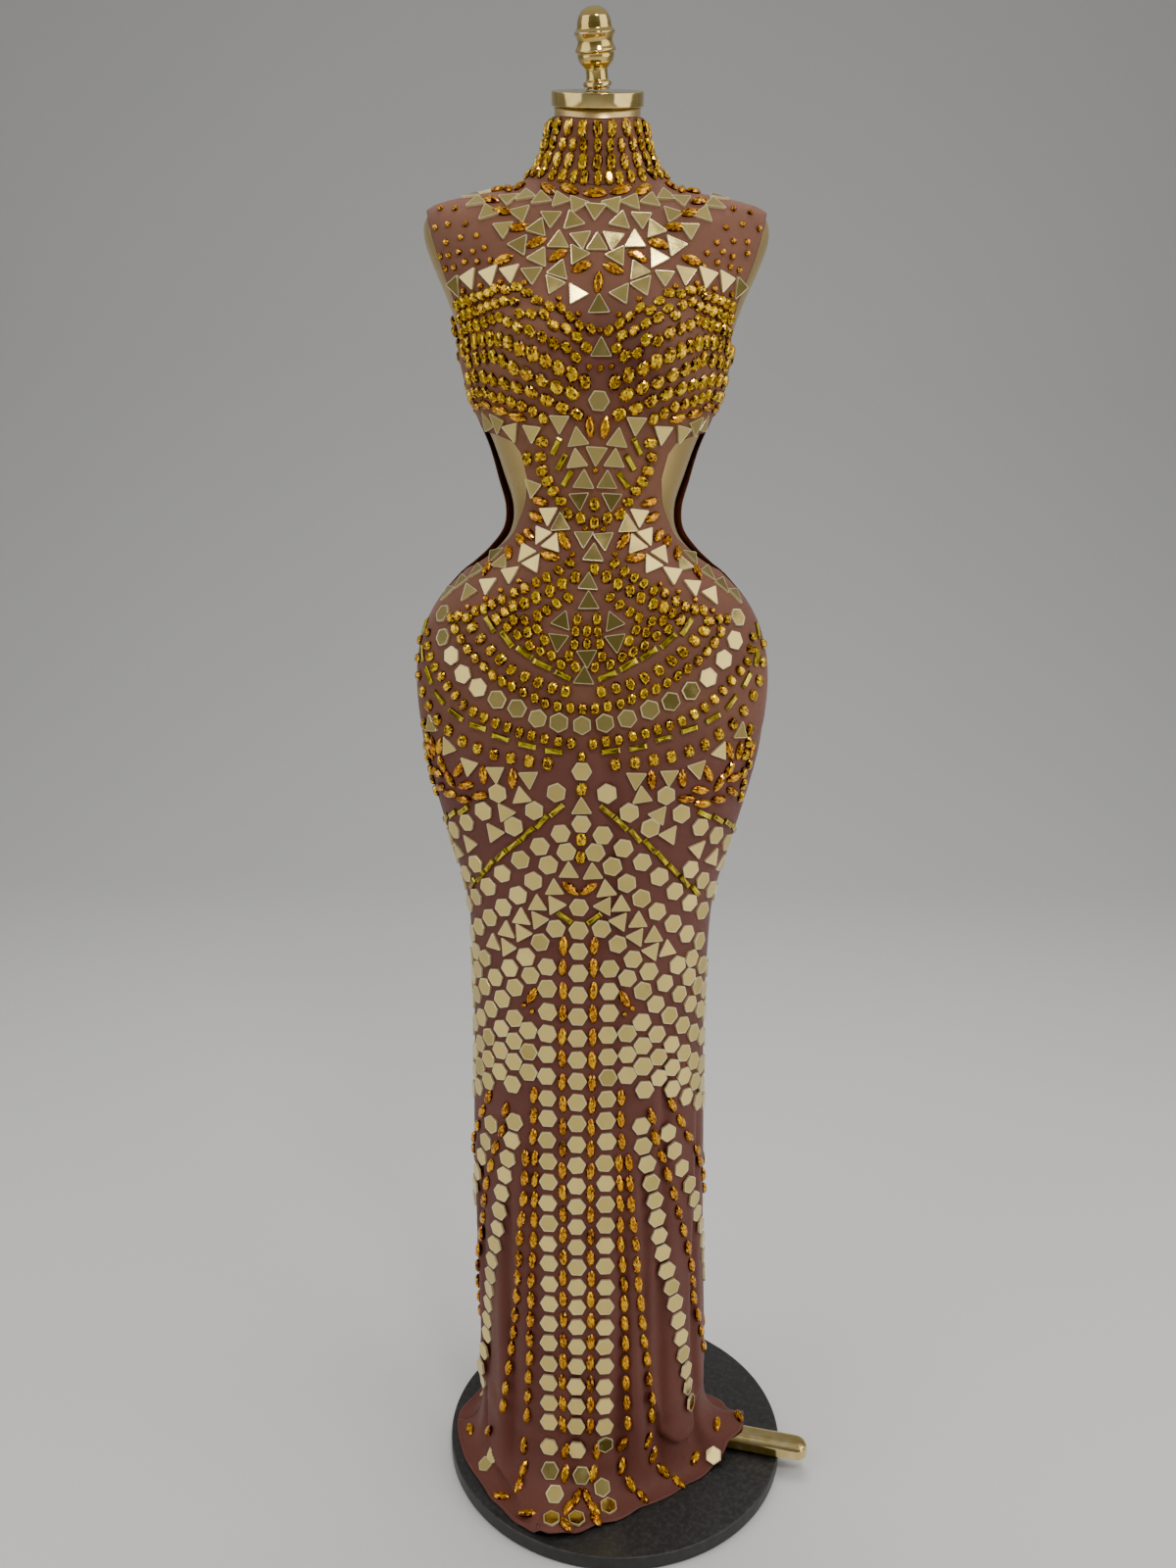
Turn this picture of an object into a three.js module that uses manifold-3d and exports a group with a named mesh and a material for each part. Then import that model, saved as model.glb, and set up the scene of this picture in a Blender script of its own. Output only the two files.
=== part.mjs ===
// Evening gown on a limbless dress form, in millimetres, +Z up, front towards -Y.
// The origin is on the underside of the base disc, straight below the middle of the torso.
import * as THREE from "three";
import { mergeVertices } from "three/addons/utils/BufferGeometryUtils.js";
import Module from "manifold-3d";

const wasm = await Module();
wasm.setup();

// Cloth
const CLOTH = 2; // wall thickness of every cloth piece
const SEAM_GAP = 0.3; // pieces lie this far apart where they are sewn together
const FORM_GAP = 3; // air between the inside of the cloth and the torso

// Stand
const BASE_RADIUS = 221;
const BASE_THICKNESS = 18;
const BASE_CHAMFER = 2;
const BASE_X = 40; // the disc stands to one side of the torso, as in the photo
const POST_RADIUS = 16;
const SOCKET_RADIUS = 36;
const SOCKET_HEIGHT = 34;
const TORSO_BOTTOM = 780;
const NECK_RADIUS = 47;
const NECK_TOP = 1655;
const NECK_TILT = 21; // degrees that the neck's flat top, its cap and knob tip forward
const CAP_RADIUS = 50;
const CAP_THICKNESS = 14.5;
const FINIAL_LEAN = -4.4; // degrees about +Y: the knob leans towards -X
const FINIAL_FOOT = 13; // radius of its foot
const REST_GAP = 0.3; // between pieces that stand on each other

// Pedal: a pressed channel that lies over the disc and past its rim
const PEDAL_TURN = -14; // degrees from +X
const PEDAL_START = 50; // from the middle of the disc
const PEDAL_NOSE = 243; // where the round nose begins
const PEDAL_WIDTH = 30;
const PEDAL_HEIGHT = 18;
const PEDAL_WALL = 2.5;
const PEDAL_UNDERSIDE = 24;
const PEDAL_ROUND = 9;
const HINGE_X = PEDAL_START + 9; // the pin's distance from the middle of the disc
const HINGE_RISE = 9; // above the pedal's underside
const HINGE_PIN_RADIUS = 3;
const EAR_LENGTH = 16;
const EAR_THICKNESS = 4;
const FOOT_THICKNESS = 3;

// Zip at the centre back
const ZIP_BOTTOM = 1000;
const ZIP_WIDTH = 4.4;
const ZIP_SLOT = 5; // between the two back edges beside the zip
const ZIP_THICKNESS = 2;
const SLIDER = {
  width: 7,
  thickness: 2.4,
  length: 10,
  earWidth: 1.2,
  earHeight: 2.3,
  earLength: 3.4,
  hingeUp: 1,
  belowTop: 0.5, // in sections of the table
};
const PULL = { neck: 1.4, half: 3, length: 22, thickness: 1.3 };

// Tiles and large stones, raised in the panels' outer points
const TILE_HEIGHT = 3;
const FRONT_COLUMNS = 22; // every second column carries tiles, so that one runs down the middle
const BACK_COLUMNS = 8;

// The collar's stones, raised in its outer points and clear of the zip
const COLLAR_ROWS = 4;
const COLLAR_STONES = 24;
const COLLAR_STONE_HEIGHT = 4;

// A table of rows with named columns becomes a list of objects.
function table(columns, rows) {
  return rows.map((row) => Object.fromEntries(columns.map((name, i) => [name, row[i]])));
}

// Sections of the cloth's outer face from just above the hem to the collar's top. side, front and back
// are the heights of the ring at those places, half its half width, fore and rear its depths, square the
// exponent of its outline and shift its place along X.
const SECTIONS = table(
  ["side", "front", "back", "half", "fore", "rear", "square", "shift"],
  [
    [110, 110, 110, 148, 120, 116, 2.3, 10],
    [200, 200, 200, 148, 114, 113, 2.3, 8],
    [320, 320, 320, 147, 110, 111, 2.3, 4],
    [460, 460, 460, 147, 107, 109, 2.3, 1],
    [600, 600, 600, 144, 104, 107, 2.3, 0],
    [700, 700, 700, 146, 103, 107, 2.3, 0],
    [770, 770, 770, 151, 104, 110, 2.25, 0],
    [830, 830, 830, 167, 107, 118, 2.2, 0],
    [893, 893, 893, 185, 112, 131, 2.2, 0],
    [951, 951, 951, 199, 117, 143, 2.2, 0],
    [1012, 1012, 1012, 207, 120, 151, 2.2, 0],
    [1060, 1060, 1060, 206, 119, 149, 2.2, 0],
    [1101, 1101, 1101, 195, 116, 138, 2.2, 0],
    [1130, 1130, 1130, 178, 111, 125, 2.15, 0],
    [1159, 1159, 1159, 151, 104, 112, 2.1, 0],
    [1185, 1185, 1185, 120, 96, 101, 2.1, 0],
    [1208, 1208, 1208, 101, 90, 94, 2.1, 0],
    [1235, 1235, 1235, 98, 87, 90, 2.1, 0],
    [1268, 1268, 1268, 108, 91, 90, 2.1, 0],
    [1300, 1300, 1300, 119, 97, 92, 2.15, 0],
    [1327, 1327, 1327, 131, 102, 95, 2.15, 0],
    [1355, 1355, 1355, 143, 106, 98, 2.2, 0],
    [1384, 1381, 1383, 151, 108, 100, 2.2, 0],
    [1416, 1406, 1411, 157, 108, 101, 2.2, 0],
    [1452, 1429, 1438, 169, 106, 101, 2.2, 0],
    [1486, 1450, 1462, 184, 102, 100, 2.2, 0],
    [1511, 1467, 1483, 193, 98, 99, 2.2, 0],
    [1529, 1481, 1500, 195, 94, 97, 2.2, 0],
    [1542, 1493, 1515, 191, 90, 95, 2.2, 0],
    [1551, 1505, 1529, 181, 86, 92, 2.15, 0],
    [1557, 1518, 1543, 163, 81, 88, 2.1, 0],
    [1562, 1529, 1555, 139, 76, 84, 2.05, 0],
    [1568, 1540, 1566, 109, 70, 79, 2, 0],
    [1577, 1550, 1575, 84, 64, 73, 2, 0],
    [1591, 1561, 1586, 68, 59, 67, 2, 0],
    [1607, 1580, 1601, 60, 55, 61, 2, 0],
    [1624, 1603, 1621, 55.5, 53, 56, 2, 0],
    [1640, 1627, 1641, 51.5, 51.5, 51.5, 2, 0],
  ],
);
const NECKLINE = 34; // the section where the collar is sewn on
const TOP = SECTIONS.length - 1;

// Bust cups: two soft mounds on the front, a little lower on the torso than in the cloth
const CUP = { x: 76, z: 1398, width: 44, height: 46, depth: 30 };
const TORSO_CUP_DEPTH = 25;

// Soft folds of the lower skirt. at and width are degrees from the centre front, depth is into the skirt,
// top is where the fold begins.
const FOLDS = table(
  ["at", "width", "depth", "top"],
  [
    [-63, 8, 5, 380],
    [-36, 9, 6, 340],
    [-14, 8, 3, 260],
    [10, 7, 6, 330],
    [33, 8, 9, 430],
    [58, 8, 6, 460],
    [108, 9, 7, 420],
    [133, 9, 6, 380],
    [160, 9, 7, 440],
    [-106, 9, 6, 400],
    [-131, 9, 7, 430],
    [-158, 9, 6, 360],
  ],
);

// The hem's reach over the base disc, from the skirt's own axis. at is degrees from the centre front.
const HEM = table(
  ["at", "reach"],
  [
    [-180, 140],
    [-152, 144],
    [-130, 155],
    [-110, 170],
    [-92, 184],
    [-70, 181],
    [-55, 180],
    [-40, 187],
    [-27, 197],
    [-16, 204],
    [-8, 193],
    [4, 174],
    [25, 159],
    [45, 162],
    [58, 173],
    [68, 187],
    [80, 203],
    [90, 204],
    [100, 186],
    [112, 162],
    [135, 146],
    [180, 140],
  ],
);
const HEM_CURL = 0.62; // under 1 the skirt turns out onto the disc in a tighter bend
const HEM_FLOOR = BASE_THICKNESS + REST_GAP + 0.2; // underside of the cloth where it lies
const TENT = { at: 78, flat: 7, fade: 13, height: PEDAL_UNDERSIDE + PEDAL_HEIGHT + 1 - HEM_FLOOR };

const radians = THREE.MathUtils.degToRad;
const smooth = (x) => THREE.MathUtils.smoothstep(x, 0, 1);

// Catmull-Rom interpolation of one column of the section table at a fractional section number.
function column(name, s) {
  const i = Math.min(Math.max(Math.floor(s), 0), TOP - 1);
  const value = (k) => SECTIONS[Math.min(Math.max(k, 0), TOP)][name];
  const [a, b, c, d] = [value(i - 1), value(i), value(i + 1), value(i + 2)];
  const u = s - i;
  const slopeB = (c - a) / 2;
  const slopeC = (d - b) / 2;
  const turn = 2 * (b - c) + slopeB + slopeC;
  return b + u * (slopeB + u * (3 * (c - b) - 2 * slopeB - slopeC + u * turn));
}

// Straight interpolation round the hem table, eased between its rows.
function hemReach(degrees) {
  const k = HEM.findIndex((row, i) => i > 0 && degrees <= row.at);
  const [from, to] = [HEM[k - 1], HEM[k]];
  const share = (degrees - from.at) / (to.at - from.at);
  return from.reach + (to.reach - from.reach) * smooth(share);
}

// Degrees brought into -180 to 180.
const wrapped = (degrees) => THREE.MathUtils.euclideanModulo(degrees + 180, 360) - 180;

// How far the folds push the skirt in at an angle and a height.
function foldDepth(degrees, z) {
  let depth = 0;
  for (const fold of FOLDS) {
    const away = wrapped(degrees - fold.at) / fold.width;
    depth += fold.depth * Math.exp(-away * away) * smooth((fold.top - z) / (fold.top - 60));
  }
  return depth;
}

function signedPower(x, power) {
  return Math.sign(x) * Math.abs(x) ** power;
}

// A point of the smooth outer face of the gown. s is a fractional section number, degrees 0 at the
// centre front, 90 at the +X side and 180 at the centre back.
function bodyPoint(s, degrees, cupDepth = CUP.depth) {
  const angle = radians(degrees);
  const [sine, cosine] = [Math.sin(angle), Math.cos(angle)];
  const power = 2 / column("square", s);
  const forward = cosine > 0;
  const depth = column(forward ? "fore" : "rear", s);
  const end = column(forward ? "front" : "back", s);
  const side = column("side", s);
  const z = side + (end - side) * cosine * cosine;
  const pushed = foldDepth(degrees, z);
  const x = (column("half", s) - pushed) * signedPower(sine, power);
  let y = -(depth - pushed) * signedPower(cosine, power);
  if (forward) {
    const across = (Math.abs(x) - CUP.x) / CUP.width;
    const up = (z - CUP.z) / CUP.height;
    y -= cupDepth * Math.exp(-across * across - up * up) * Math.sqrt(cosine);
  }
  return new THREE.Vector3(x + column("shift", s), y, z);
}

// A point of the skirt's end, where it turns out onto the disc. share is 0 where it leaves the tube
// and 1 at the hem.
function hemPoint(share, degrees) {
  const start = bodyPoint(0, degrees);
  const angle = radians(degrees);
  const reach = hemReach(wrapped(degrees));
  const axis = SECTIONS[0].shift;
  const end = new THREE.Vector3(axis + reach * Math.sin(angle), -reach * Math.cos(angle), 0);
  const tent = smooth(1 - (Math.abs(wrapped(degrees - TENT.at)) - TENT.flat) / TENT.fade);
  end.z = HEM_FLOOR + CLOTH + TENT.height * tent;
  const turn = (share * Math.PI) / 2;
  const out = 1 - Math.cos(turn) ** HEM_CURL;
  const down = Math.sin(turn) ** HEM_CURL;
  return new THREE.Vector3(
    THREE.MathUtils.lerp(start.x, end.x, out),
    THREE.MathUtils.lerp(start.y, end.y, out),
    THREE.MathUtils.lerp(start.z, end.z, down),
  );
}

// The whole outer face: s from -1 at the hem to 0 at the knee fold, then section numbers.
const facePoint = (s, degrees) => (s < 0 ? hemPoint(-s, degrees) : bodyPoint(s, degrees));

// The outward normal of the face, from its neighbours.
function faceNormal(s, degrees) {
  const step = 0.02;
  const up = facePoint(Math.min(s + step, TOP), degrees).sub(facePoint(Math.max(s - step, -1), degrees));
  const round = facePoint(s, degrees + step * 10).sub(facePoint(s, degrees - step * 10));
  return round.cross(up).normalize();
}

// The face moved out by a distance, or in by a negative one.
const movedPoint = (s, degrees, out) =>
  facePoint(s, degrees).addScaledVector(faceNormal(s, degrees), out);

// The angle at which a ring lies a distance from the side or from the centre back.
function seamAngle(s, distance, size) {
  const row = Math.max(s, 0);
  return THREE.MathUtils.radToDeg((distance / column(size, row)) ** (column("square", row) / 2));
}
const sideSeam = (s, size) => 90 - seamAngle(s, SEAM_GAP / 2, size);

// Cut-outs and armholes: the angle of the front's edge and of the back's edge at each section.
const EDGES = table(
  ["s", "front", "back"],
  [
    [14.05, 90, 90],
    [14.3, 72, 97],
    [14.8, 66, 98],
    [15.5, 61, 98],
    [16.3, 58, 98],
    [17, 50, 97],
    [17.8, 43, 95],
    [18.6, 43, 94],
    [19, 47, 93],
    [19.3, 60, 92],
    [19.5, 76, 91],
    [19.7, 90, 90],
    [22.3, 90, 90],
    [22.6, 74, 97],
    [23.2, 67, 103],
    [24, 64, 108],
    [25, 62.5, 111],
    [26, 62.5, 112],
    [27, 65, 110],
    [28, 72, 104],
    [28.6, 81, 98],
    [29, 90, 90],
  ],
);

// The edge table at a section, or null where the panel ends in a seam.
function openEdge(s, name) {
  const k = EDGES.findIndex((row, i) => i > 0 && s <= row.s);
  if (k < 1 || s <= EDGES[0].s) return null;
  const [from, to] = [EDGES[k - 1], EDGES[k]];
  if (from[name] === 90 && to[name] === 90) return null;
  return THREE.MathUtils.lerp(from[name], to[name], (s - from.s) / (to.s - from.s));
}
const frontEdge = (s) => Math.min(openEdge(s, "front") ?? 90, sideSeam(s, "fore"));
const backEdge = (s) => Math.max(openEdge(s, "back") ?? 90, 180 - sideSeam(s, "rear"));

// The back panels part at the zip and meet below it.
function backMiddle(s) {
  const z = facePoint(s, 180).z;
  const open = smooth((z - ZIP_BOTTOM + 12) / 12);
  const gap = THREE.MathUtils.lerp(SEAM_GAP, ZIP_SLOT, open) / 2;
  return 180 - seamAngle(s, gap, "half");
}

// At the waist the back's cut edges stand off the torso.
const STAND_OFF = { s: 16.4, reach: 2.2, degrees: 34, out: 6 };
function standOff(s, degrees) {
  const along = (s - STAND_OFF.s) / STAND_OFF.reach;
  const near = 1 - (Math.abs(degrees) - 95) / STAND_OFF.degrees;
  return Math.abs(degrees) < 90 ? 0 : STAND_OFF.out * Math.exp(-along * along) * smooth(near);
}

// A closed wall over a grid of rows and columns, from its outer and inner points. The inner face has
// only the rows in innerRows, and the edges join it to all of the outer rows.
function wallGeometry(rows, columns, outer, inner, innerRows) {
  const positions = [];
  const index = [];
  for (let i = 0; i <= rows; i++)
    for (let j = 0; j <= columns; j++) positions.push(...outer(i, j).toArray());
  for (const i of innerRows)
    for (let j = 0; j <= columns; j++) positions.push(...inner(i, j).toArray());
  const width = columns + 1;
  const inside = (rows + 1) * width;
  const quad = (a, b, c, d) => index.push(a, b, c, a, c, d);
  for (let i = 0; i < rows; i++)
    for (let j = 0; j < columns; j++) {
      const k = i * width + j;
      quad(k, k + 1, k + width + 1, k + width);
    }
  for (let i = 0; i < innerRows.length - 1; i++)
    for (let j = 0; j < columns; j++) {
      const k = inside + i * width + j;
      quad(k + 1, k, k + width, k + width + 1);
    }
  for (let n = 0; n < innerRows.length - 1; n++)
    for (const right of [0, columns]) {
      const [lower, upper] = [inside + n * width + right, inside + (n + 1) * width + right];
      const triangle = (a, b, c) => index.push(...(right ? [a, c, b] : [a, b, c]));
      for (let i = innerRows[n]; i < innerRows[n + 1]; i++)
        triangle(i * width + right, (i + 1) * width + right, lower);
      triangle(innerRows[n + 1] * width + right, upper, lower);
    }
  const last = inside + (innerRows.length - 1) * width;
  for (let j = 0; j < columns; j++) {
    const top = rows * width + j;
    quad(j + 1, j, inside + j, inside + j + 1);
    quad(top, top + 1, last + j + 1, last + j);
  }
  return indexedGeometry(positions, index);
}

function indexedGeometry(positions, index) {
  const geometry = new THREE.BufferGeometry();
  geometry.setAttribute("position", new THREE.Float32BufferAttribute(positions, 3));
  geometry.setIndex(index);
  geometry.computeVertexNormals();
  return geometry;
}

// Bands of the panels and the rows of tiles in each: across the skirt, the hips, the bust and the yoke.
const TILE_BANDS = table(
  ["from", "to", "tiles"],
  [
    [0, 1, 2],
    [1, 2, 3],
    [2, 3, 4],
    [3, 4, 4],
    [4, 5, 3],
    [5, 6, 2],
    [6, 7, 2],
    [7, 8, 2],
    [8, 9, 2],
    [9, 10, 2],
    [10, 11, 2],
    [11, 12, 1],
    [12, 13, 1],
    [13, 14.05, 1],
    [19.7, 21, 1],
    [21, 22.3, 1],
    [29, 30, 1],
    [30, 31, 1],
    [31, 32, 1],
    [32, 33, 1],
    [33, NECKLINE, 1],
  ],
);

// Rows on the corners of the openings, and those of them on which tiles rise.
const CUT_OUT_ROWS = [14.05, 14.3, 14.8, 15.5, 16.3, 17, 17.8, 18.6, 19, 19.3, 19.5];
const ARMHOLE_ROWS = [22.3, 22.6, 23.2, 24, 25, 26, 27, 28, 28.6];
const RAISED_CORNER_ROWS = [14.8, 16.3, 17.8, 19, 23.2, 25, 27];
const HEM_ROWS = 5;

// Rows of the panels. A row is in the inner face too where its inner is true, and tiles rise on it where
// its raised is true.
function panelRows() {
  const rows = [];
  const add = (s, inner, raised) => rows.push({ s, inner, raised });
  for (let k = HEM_ROWS; k > 0; k--) add(-k / HEM_ROWS, true, false);
  const bands = (first, last) => {
    for (const { from, to, tiles } of TILE_BANDS) {
      if (from < first || to > last) continue;
      for (let k = 0; k < tiles; k++) {
        add(THREE.MathUtils.lerp(from, to, k / tiles), k === 0, false);
        add(THREE.MathUtils.lerp(from, to, (k + 0.5) / tiles), false, true);
      }
    }
  };
  const corners = (list) => {
    for (const s of list) add(s, true, RAISED_CORNER_ROWS.includes(s));
  };
  bands(0, CUT_OUT_ROWS[0]);
  corners(CUT_OUT_ROWS);
  bands(19.7, ARMHOLE_ROWS[0]);
  corners(ARMHOLE_ROWS);
  bands(29, NECKLINE);
  add(NECKLINE, true, false);
  return rows;
}
const ROWS = panelRows();
const INNER_ROWS = ROWS.flatMap((row, i) => (row.inner ? [i] : []));

// A cloth panel between two edges that are functions of the section number. Tiles rise on every second
// column of the raised rows.
function panel(columns, leftEdge, rightEdge, off = () => 0) {
  const point = (i, j, out) => {
    const s = ROWS[i].s;
    const degrees = THREE.MathUtils.lerp(leftEdge(s), rightEdge(s), j / columns);
    return movedPoint(s, degrees, out + off(s, degrees));
  };
  return wallGeometry(
    ROWS.length - 1,
    columns,
    (i, j) => point(i, j, ROWS[i].raised && j % 2 ? TILE_HEIGHT : 0),
    (i, j) => point(i, j, -CLOTH),
    INNER_ROWS,
  );
}

// The stand collar: its outer points rise over each oval stone, and it ends at the zip.
function collar() {
  const columns = COLLAR_STONES * 2;
  const rows = COLLAR_ROWS * 2;
  const start = NECKLINE + 0.02;
  const point = (i, j, out) => {
    const s = THREE.MathUtils.lerp(start, TOP, i / rows);
    const end = 180 - seamAngle(s, ZIP_SLOT / 2, "half");
    return movedPoint(s, THREE.MathUtils.lerp(-end, end, j / columns), out);
  };
  const clear = (j) => j > 1 && j < columns - 1;
  const raised = (i, j) => (i % 2 && j % 2 && clear(j) ? COLLAR_STONE_HEIGHT : 0);
  return wallGeometry(
    rows,
    columns,
    (i, j) => point(i, j, raised(i, j)),
    (i, j) => point(i, j, -CLOTH),
    Array.from({ length: COLLAR_ROWS + 1 }, (_, i) => 2 * i),
  );
}

// The zip's chain, lying in the slot between the two backs.
function zipChain() {
  const rows = 22;
  const bottom = SECTIONS.findIndex((row) => row.back > ZIP_BOTTOM) - 0.05;
  const point = (i, j, out) => {
    const s = THREE.MathUtils.lerp(bottom, TOP, i / rows);
    const half = seamAngle(s, ZIP_WIDTH / 2, "half");
    return movedPoint(s, 180 + (j ? half : -half), out);
  };
  return wallGeometry(
    rows,
    1,
    (i, j) => point(i, j, 0),
    (i, j) => point(i, j, -ZIP_THICKNESS),
    Array.from({ length: rows + 1 }, (_, i) => i),
  );
}

// The torso: closed rings inside the cloth, from its flat underside to the top of the neck.
function torso() {
  const inset = -(CLOTH + FORM_GAP);
  const columns = 20;
  const first = SECTIONS.findIndex((row) => row.side > TORSO_BOTTOM) - 1;
  const rows = [];
  const heights = [TORSO_BOTTOM];
  for (const { s, inner } of ROWS) if (inner && s > first + 0.5) heights.push(s);
  for (let s = NECKLINE + 1; s <= TOP; s++) heights.push(s);
  for (const s of heights) {
    const flat = s === TORSO_BOTTOM;
    const ring = [];
    for (let j = 0; j < columns; j++) {
      const row = flat ? first + 0.2 : s;
      const degrees = (360 * j) / columns;
      const point = bodyPoint(row, degrees, TORSO_CUP_DEPTH);
      point.addScaledVector(faceNormal(row, degrees), inset);
      if (flat) point.z = TORSO_BOTTOM;
      ring.push(point);
    }
    rows.push(ring);
  }
  const neck = [];
  for (let j = 0; j < columns; j++) {
    const angle = (2 * Math.PI * j) / columns;
    const point = new THREE.Vector3(NECK_RADIUS * Math.sin(angle), -NECK_RADIUS * Math.cos(angle), 0);
    point.applyAxisAngle(new THREE.Vector3(1, 0, 0), radians(NECK_TILT));
    neck.push(point.setZ(point.z + NECK_TOP));
  }
  rows.push(neck);
  return ringGeometry(rows);
}

// A solid through closed rings of the same number of points, with flat ends.
function ringGeometry(rings) {
  const count = rings[0].length;
  const positions = rings.flat().flatMap((point) => point.toArray());
  const index = [];
  for (let i = 0; i < rings.length - 1; i++)
    for (let j = 0; j < count; j++) {
      const [a, b] = [i * count + j, i * count + ((j + 1) % count)];
      index.push(a, b, b + count, a, b + count, a + count);
    }
  for (const [ring, upper] of [[rings[0], false], [rings.at(-1), true]]) {
    const middle = new THREE.Vector3();
    for (const point of ring) middle.addScaledVector(point, 1 / count);
    const centre = positions.length / 3;
    positions.push(...middle.toArray());
    const first = upper ? (rings.length - 1) * count : 0;
    for (let j = 0; j < count; j++) {
      const [a, b] = [first + j, first + ((j + 1) % count)];
      index.push(...(upper ? [centre, a, b] : [centre, b, a]));
    }
  }
  return indexedGeometry(positions, index);
}

// A turned piece from a profile of [radius, height] that starts and ends on the axis, standing along +Z.
function turned(profile, segments) {
  const points = profile.map(([radius, height]) => new THREE.Vector2(radius, height));
  return new THREE.LatheGeometry(points, segments).rotateX(Math.PI / 2);
}

function baseDisc() {
  const inner = BASE_RADIUS - BASE_CHAMFER;
  const shoulder = BASE_THICKNESS - BASE_CHAMFER;
  return turned([[0, 0], [inner, 0], [BASE_RADIUS, BASE_CHAMFER], [BASE_RADIUS, shoulder],
    [inner, BASE_THICKNESS], [0, BASE_THICKNESS]], 40);
}

// A ring on the disc that holds the post.
function postSocket() {
  const bore = POST_RADIUS + REST_GAP;
  return turned([[bore, 0], [SOCKET_RADIUS, 0], [SOCKET_RADIUS, 6], [SOCKET_RADIUS - 8, 12],
    [bore + 5, SOCKET_HEIGHT], [bore, SOCKET_HEIGHT], [bore, 0]], 24);
}

// The knob on the neck cap, heights above the cap.
function finial() {
  return turned([[0, 0], [FINIAL_FOOT, 0], [FINIAL_FOOT, 1.4], [9, 2], [15, 2.8], [15.5, 5], [14.6, 7.4], [11.6, 8.7],
    [11.6, 18.4], [13, 20.2], [17.5, 24.3], [19.6, 29.4], [19.4, 33], [21, 34.4], [22.2, 35.8], [19.8, 39.5],
    [18.2, 43.6], [19.4, 47.3], [22.3, 52], [20.5, 53.7], [18.4, 56], [18, 60.6], [16, 67],
    [12, 72], [6.5, 74.8], [0, 75.5]], 14);
}

// A solid from manifold-3d, and back to a three.js geometry.
function solidOf(geometry) {
  const plain = geometry.clone();
  for (const name of Object.keys(plain.attributes))
    if (name !== "position") plain.deleteAttribute(name);
  const merged = mergeVertices(plain, 1e-4);
  return new wasm.Manifold(
    new wasm.Mesh({
      numProp: 3,
      vertProperties: merged.attributes.position.array,
      triVerts: new Uint32Array(merged.index.array),
    }),
  );
}

function geometryOf(solid) {
  const mesh = solid.getMesh();
  return indexedGeometry(mesh.vertProperties, Array.from(mesh.triVerts));
}

// The channel's outline seen along it, round at the top, and the same outline for its hollow.
function channelProfile(width, height, round) {
  const half = width / 2;
  const shape = new THREE.Shape();
  shape.moveTo(-half, 0);
  shape.lineTo(half, 0);
  shape.lineTo(half, height - round);
  shape.absarc(half - round, height - round, round, 0, Math.PI / 2, false);
  shape.lineTo(-half + round, height);
  shape.absarc(-half + round, height - round, round, Math.PI / 2, Math.PI, false);
  shape.lineTo(-half, 0);
  return shape;
}

// A channel block along +X with a half-round nose, standing on z = 0.
function channelBlock(width, height, round, start, nose) {
  const shape = channelProfile(width, height, round);
  const bar = new THREE.ExtrudeGeometry(shape, {
    depth: nose - start,
    bevelEnabled: false,
    curveSegments: 5,
  });
  bar.rotateX(Math.PI / 2).rotateZ(Math.PI / 2).translate(start, 0, 0);
  const half = width / 2;
  const profile = [[0, 0], [half, 0]];
  for (let k = 0; k <= 5; k++) {
    const angle = (k * Math.PI) / 10;
    profile.push([half - round + round * Math.cos(angle), height - round + round * Math.sin(angle)]);
  }
  profile.push([0, height]);
  const end = turned(profile, 24).translate(nose, 0, 0);
  return solidOf(bar).add(solidOf(end));
}

// A round pin across the pedal, its middle at the hinge.
function hingePin(radius, length) {
  return solidOf(new THREE.CylinderGeometry(radius, radius, length, 16).translate(HINGE_X, 0, HINGE_RISE));
}

// The pedal: the channel less its hollow, with a hole in each side for the pin.
function pedal() {
  const outer = channelBlock(PEDAL_WIDTH, PEDAL_HEIGHT, PEDAL_ROUND, PEDAL_START, PEDAL_NOSE);
  const wall = PEDAL_WALL;
  const hollow = channelBlock(
    PEDAL_WIDTH - 2 * wall,
    PEDAL_HEIGHT - wall + 1,
    PEDAL_ROUND - wall,
    PEDAL_START + wall,
    PEDAL_NOSE,
  ).translate([0, 0, -1]);
  const hole = hingePin(HINGE_PIN_RADIUS + REST_GAP, PEDAL_WIDTH * 2);
  return geometryOf(outer.subtract(hollow).subtract(hole));
}

// A foot on the disc with two ears and the pin that carries the pedal's inner end. z = 0 is the
// pedal's underside.
function pedalBracket() {
  const bottom = BASE_THICKNESS + REST_GAP - PEDAL_UNDERSIDE;
  const top = HINGE_RISE + 2 * HINGE_PIN_RADIUS;
  const across = PEDAL_WIDTH / 2 + REST_GAP + EAR_THICKNESS / 2;
  const ear = (side) =>
    solidOf(
      new THREE.BoxGeometry(EAR_LENGTH, EAR_THICKNESS, top - bottom).translate(
        HINGE_X,
        side * across,
        (top + bottom) / 2,
      ),
    );
  const foot = new THREE.BoxGeometry(EAR_LENGTH, 2 * across, FOOT_THICKNESS);
  foot.translate(HINGE_X, 0, bottom + FOOT_THICKNESS / 2);
  const pin = hingePin(HINGE_PIN_RADIUS, 2 * across);
  return geometryOf(ear(-1).add(ear(1)).add(solidOf(foot)).add(pin));
}

// The slider: a small block over the chain, with two ears for the pull. +Y is out of the cloth.
function zipSlider() {
  const { width, thickness, length, earWidth, earHeight, earLength } = SLIDER;
  const across = (width - earWidth) / 2 - 0.5;
  const ear = (side) =>
    solidOf(
      new THREE.BoxGeometry(earWidth, earHeight, earLength).translate(
        side * across,
        (thickness + earHeight) / 2 - 0.1,
        SLIDER.hingeUp,
      ),
    );
  const body = solidOf(new THREE.BoxGeometry(width, thickness, length));
  return geometryOf(body.add(ear(-1)).add(ear(1)));
}

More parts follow.
